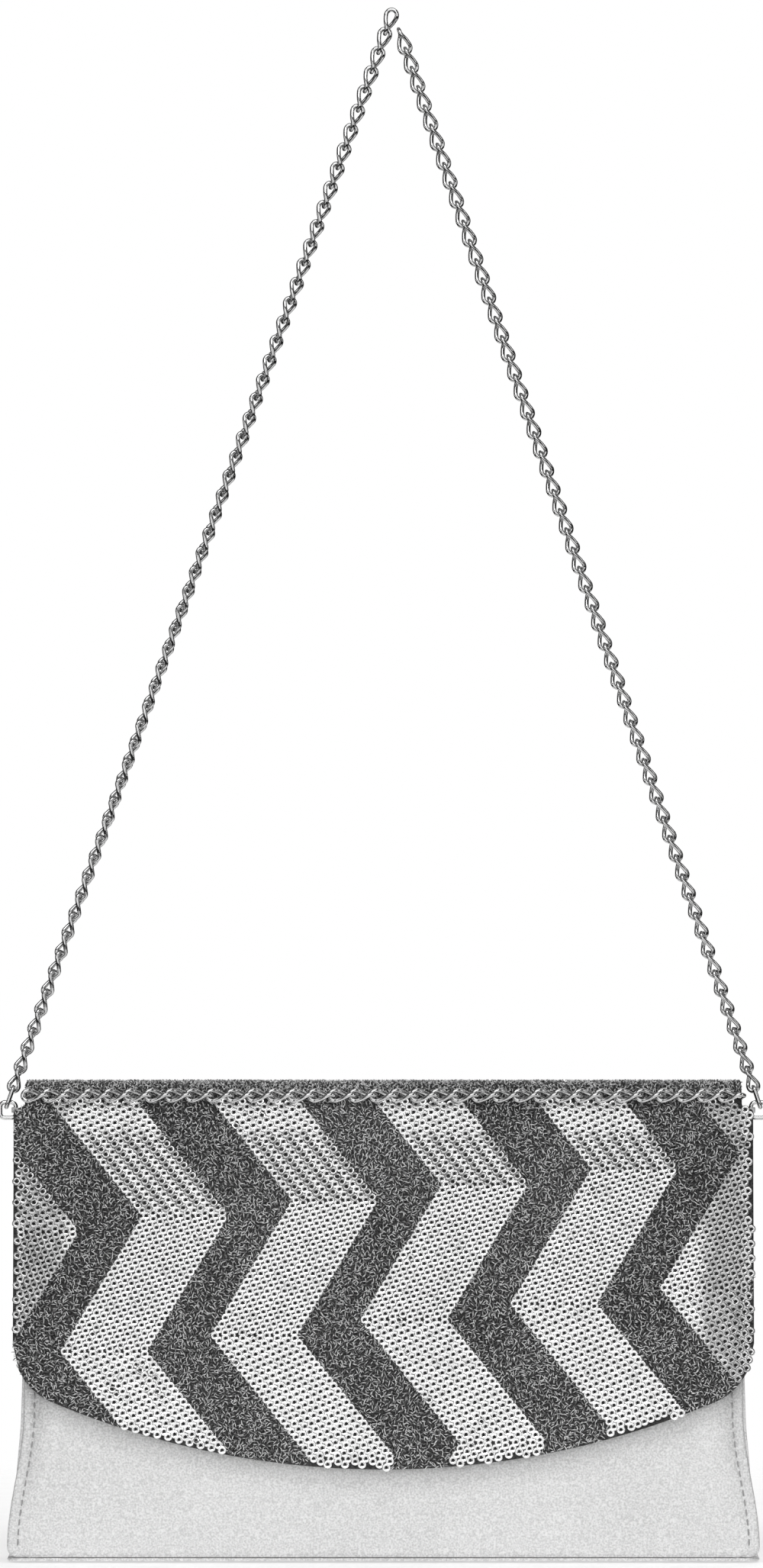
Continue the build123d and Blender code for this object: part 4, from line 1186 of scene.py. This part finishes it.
    def slack_patch(self, x: np.ndarray, fall: np.ndarray) -> np.ndarray:
        """Returns which sequins sit where the cloth is slack, so that they tilt in different ways."""
        near = np.hypot((x + 0.084) / 0.014, (fall - 0.094) / 0.009) < 1
        return near & (np.sin(x * 2600) * np.cos(fall * 1900) > 0.1)

    def yarn(self) -> None:
        """Makes the metal yarn's short loops over all the cloth that no stripe covers."""
        form = self.form
        draw = np.random.default_rng(7)
        tail = form.back_fall(form.radius) - form.tail
        falls = np.arange(tail + 0.0004, 0.124, self.yarn_gap)
        across = np.arange(-form.half, form.half, self.yarn_gap)
        x, fall = (a.ravel() for a in np.meshgrid(across, falls))
        x = x + draw.uniform(-0.5, 0.5, len(x)) * self.yarn_gap
        fall = fall + draw.uniform(-0.5, 0.5, len(x)) * self.yarn_gap
        striped = self.pattern.inside(x, fall, -0.0004) & (fall > self.trim_fall)
        keep = self.within(x, fall, 0.0002) & (fall > tail + 0.0003) & ~striped
        x, fall = x[keep], fall[keep]
        spot, normal, down = form.place(x, fall, form.radius, -0.00002)
        side = np.cross(down, normal)
        turn = draw.uniform(0, math.pi, len(x))
        along = side * np.cos(turn)[:, None] + down * np.sin(turn)[:, None]
        along = along + normal * (draw.normal(0, 1, len(x)) * np.where(fall < -0.006, 0.55, 0.25))[:, None]
        along /= np.linalg.norm(along, axis=1, keepdims=True)
        width = np.cross(normal, along)
        width /= np.linalg.norm(width, axis=1, keepdims=True)
        long = draw.uniform(*self.yarn_long, len(x))
        bow = draw.uniform(*self.yarn_bow, len(x))
        frames = np.stack([along * long[:, None], width * self.yarn_thick, normal * bow[:, None]], axis=1)
        tints = draw.beta(0.5, 0.5, len(x))
        on_flap = fall > self.trim_fall
        groups = [("cap_yarn", "bag", ~on_flap)]
        bands = np.linspace(-form.half, form.half, 6)
        for k, (low, high) in enumerate(zip(bands[:-1], bands[1:])):
            groups.append((f"flap_yarn_{k + 1}", "flap", on_flap & (x >= low) & (x < high + 1e-9)))
        for name, body, chosen in groups:
            solid = scattered(capsule(), spot[chosen], frames[chosen], tints[chosen])
            piece = make_piece(name, solid, YARN.build())
            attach(piece, body)
            LOG.info("%s: %d loops", name, int(chosen.sum()))

    def edge_stitches(self) -> None:
        """Makes the row of stitches that closes the cloth on the back."""
        form = self.form
        tail = form.back_fall(form.radius) - form.tail + 0.0018
        line = form.place(np.linspace(-form.fold_half + 0.002, form.fold_half - 0.002, 90), np.full(90, tail),
                          form.radius, 0.0003)[0]
        out = form.place(np.zeros(1), np.array([tail]), form.radius)[1][0]
        piece = make_piece("cap_stitches", StitchLine(line, out).build(), THREAD.build())
        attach(piece, "bag")


# ---------------------------------------------------------------- metal and boards

class Hardware:
    """Dresses the chain, rings, zip, snap and boards, which keep their own shapes."""

    WEARS = {
        CHAIN: ("strap_chain_left", "strap_chain_right", "left_end_link", "right_end_link", "left_side_ring",
                "right_side_ring", "trim_chain"),
        NICKEL: ("zip_teeth_upper", "zip_teeth_lower", "zip_stops", "zip_slider", "zip_pull", "snap_stud",
                 "snap_socket", "snap_stud_washer", "snap_socket_washer"),
        FERRITE: ("snap_magnet",),
        BOARD: ("base_board", "front_board", "back_board"),
    }

    def build(self) -> None:
        """Gives every kept node its finish."""
        for finish, nodes in self.WEARS.items():
            for node in nodes:
                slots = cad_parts[node].material_slots
                if not slots:
                    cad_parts[node].data.materials.append(finish.build())
                for slot in slots:
                    slot.material = finish.build()
            LOG.info("%s on %d nodes", finish.name, len(nodes))


# ---------------------------------------------------------------- studio

@dataclass
class Studio:
    """A pale floor that fades out, soft boxes and a long lens straight in front."""

    view_height: float = 0.5425
    centre: tuple[float, float, float] = (-0.00396, -0.018, -0.26862)
    distance: float = 3.6
    sensor: float = 24.0
    aim_z: float = -0.42
    boxes: tuple[tuple[str, tuple[float, float, float], tuple[float, float], float], ...] = (
        ("front_box", (0.0, -4.6, 0.45), (4.0, 3.4), 55.0),
        ("top_box", (0.0, -1.5, 1.7), (2.4, 1.1), 22.0),
        ("left_box", (-2.2, -1.3, 0.2), (0.5, 1.6), 5.0),
        ("right_box", (2.2, -1.3, 0.0), (0.5, 1.6), 5.0),
        ("back_box", (0.6, 2.6, 1.0), (1.8, 1.4), 12.0),
    )
    floor_radius: float = 0.6
    floor_corners: int = 64

    def build(self) -> None:
        """Makes the floor, world, lights and camera."""
        self.floor()
        self.world()
        for name, place, size, power in self.boxes:
            self.soft_box(name, place, size, power)
        self.camera()

    def floor(self) -> None:
        """Makes a round patch of floor under the bag, fading out to nothing."""
        turns = np.linspace(0, 2 * math.pi, self.floor_corners + 1)[:-1]
        radii = np.linspace(0.002, self.floor_radius, 12)
        rings = np.array([[(r * math.cos(t), r * math.sin(t), 0.0) for t in turns] for r in radii])
        index = np.arange(len(radii) * self.floor_corners).reshape(-1, self.floor_corners)
        turned = np.roll(index, -1, axis=1)
        quads = np.stack([index[:-1], index[1:], turned[1:], turned[:-1]], axis=-1).reshape(-1, 4)
        material = bpy.data.materials.new("studio_floor")
        material.use_nodes = True
        bench = NodeBench(material.node_tree)
        shader = material.node_tree.nodes["Principled BSDF"]
        place = bench.add("ShaderNodeTexCoord").outputs["Object"]
        away = bench.add("ShaderNodeVectorMath", {"operation": "LENGTH"})
        bench.feed(away.inputs[0], place)
        grain = bench.spread(bench.noise(place, 60.0, 3.0), 0.3, 0.7, 0.88, 0.93)
        bench.feed(shader.inputs["Base Color"], grain)
        shader.inputs["Roughness"].default_value = 0.7
        shader.inputs["Emission Color"].default_value = (1.0, 1.0, 1.0, 1.0)
        shader.inputs["Emission Strength"].default_value = 0.3
        fade = bench.spread(away.outputs["Value"], 0.2, 0.55, 1.0, 0.0)
        above = bench.sum("SUBTRACT", 1.0, bench.add("ShaderNodeNewGeometry").outputs["Backfacing"])
        bench.feed(shader.inputs["Alpha"], bench.sum("MULTIPLY", fade, above))
        solid = Solid(rings.reshape(-1, 3), quads)
        piece = make_piece("studio_floor", solid, material)
        piece.location = (FORM.middle, FORM.fold_y, FORM.base_z - 0.0006)

    def world(self) -> None:
        """Makes an even pale surround that metal sees as a darker room."""
        world = bpy.data.worlds.new("studio")
        bpy.context.scene.world = world
        world.use_nodes = True
        bench = NodeBench(world.node_tree)
        background = world.node_tree.nodes["Background"]
        rays = bench.add("ShaderNodeLightPath").outputs
        place = bench.add("ShaderNodeTexCoord").outputs["Generated"]
        split = bench.add("ShaderNodeSeparateXYZ", None, Vector=place)
        room = bench.spread(split.outputs["Z"], -0.3, 0.9, 0.015, 0.12)
        even = bench.sum("ADD", bench.sum("MULTIPLY", rays["Is Glossy Ray"], room),
                         bench.sum("MULTIPLY", bench.sum("SUBTRACT", 1.0, rays["Is Glossy Ray"]), 0.42))
        seen = bench.add("ShaderNodeMix", {"data_type": "FLOAT"})
        for socket, value in ((0, rays["Is Camera Ray"]), (2, even), (3, 1.0)):
            bench.feed(seen.inputs[socket], value)
        bench.feed(background.inputs["Strength"], seen.outputs[0])
        background.inputs["Color"].default_value = (1.0, 1.0, 1.0, 1.0)

    def soft_box(self, name: str, place: tuple[float, float, float], size: tuple[float, float],
                 power: float) -> None:
        """Makes one area light that faces the bag."""
        lamp = bpy.data.lights.new(name, "AREA")
        lamp.shape = "RECTANGLE"
        lamp.size, lamp.size_y = size
        lamp.energy = power
        light = bpy.data.objects.new(name, lamp)
        light.location = place
        aim = Vector((FORM.middle, 0.0, self.aim_z)) - Vector(place)
        light.rotation_euler = aim.to_track_quat("-Z", "Y").to_euler()
        light.visible_camera = False
        bpy.context.scene.collection.objects.link(light)

    def camera(self) -> None:
        """Makes the camera, level and straight on."""
        data = bpy.data.cameras.new("camera")
        data.sensor_fit = "VERTICAL"
        data.sensor_height = self.sensor
        data.sensor_width = self.sensor
        data.lens = self.sensor * self.distance / self.view_height
        data.clip_start, data.clip_end = 0.05, 100.0
        camera = bpy.data.objects.new("camera", data)
        camera.location = (self.centre[0], self.centre[1] - self.distance, self.centre[2])
        camera.rotation_euler = (math.pi / 2, 0.0, 0.0)
        bpy.context.scene.collection.objects.link(camera)
        bpy.context.scene.camera = camera
        bpy.context.scene.view_settings.view_transform = "Standard"


def main() -> None:
    """Builds the looks round the frame."""
    logging.basicConfig(level=logging.INFO, format="%(name)s: %(message)s")
    for assembly in (Body(), Inside(), Flap(), Hardware(), Studio()):
        assembly.build()
        LOG.info("%s done", type(assembly).__name__)


if __name__ == "__main__":
    main()
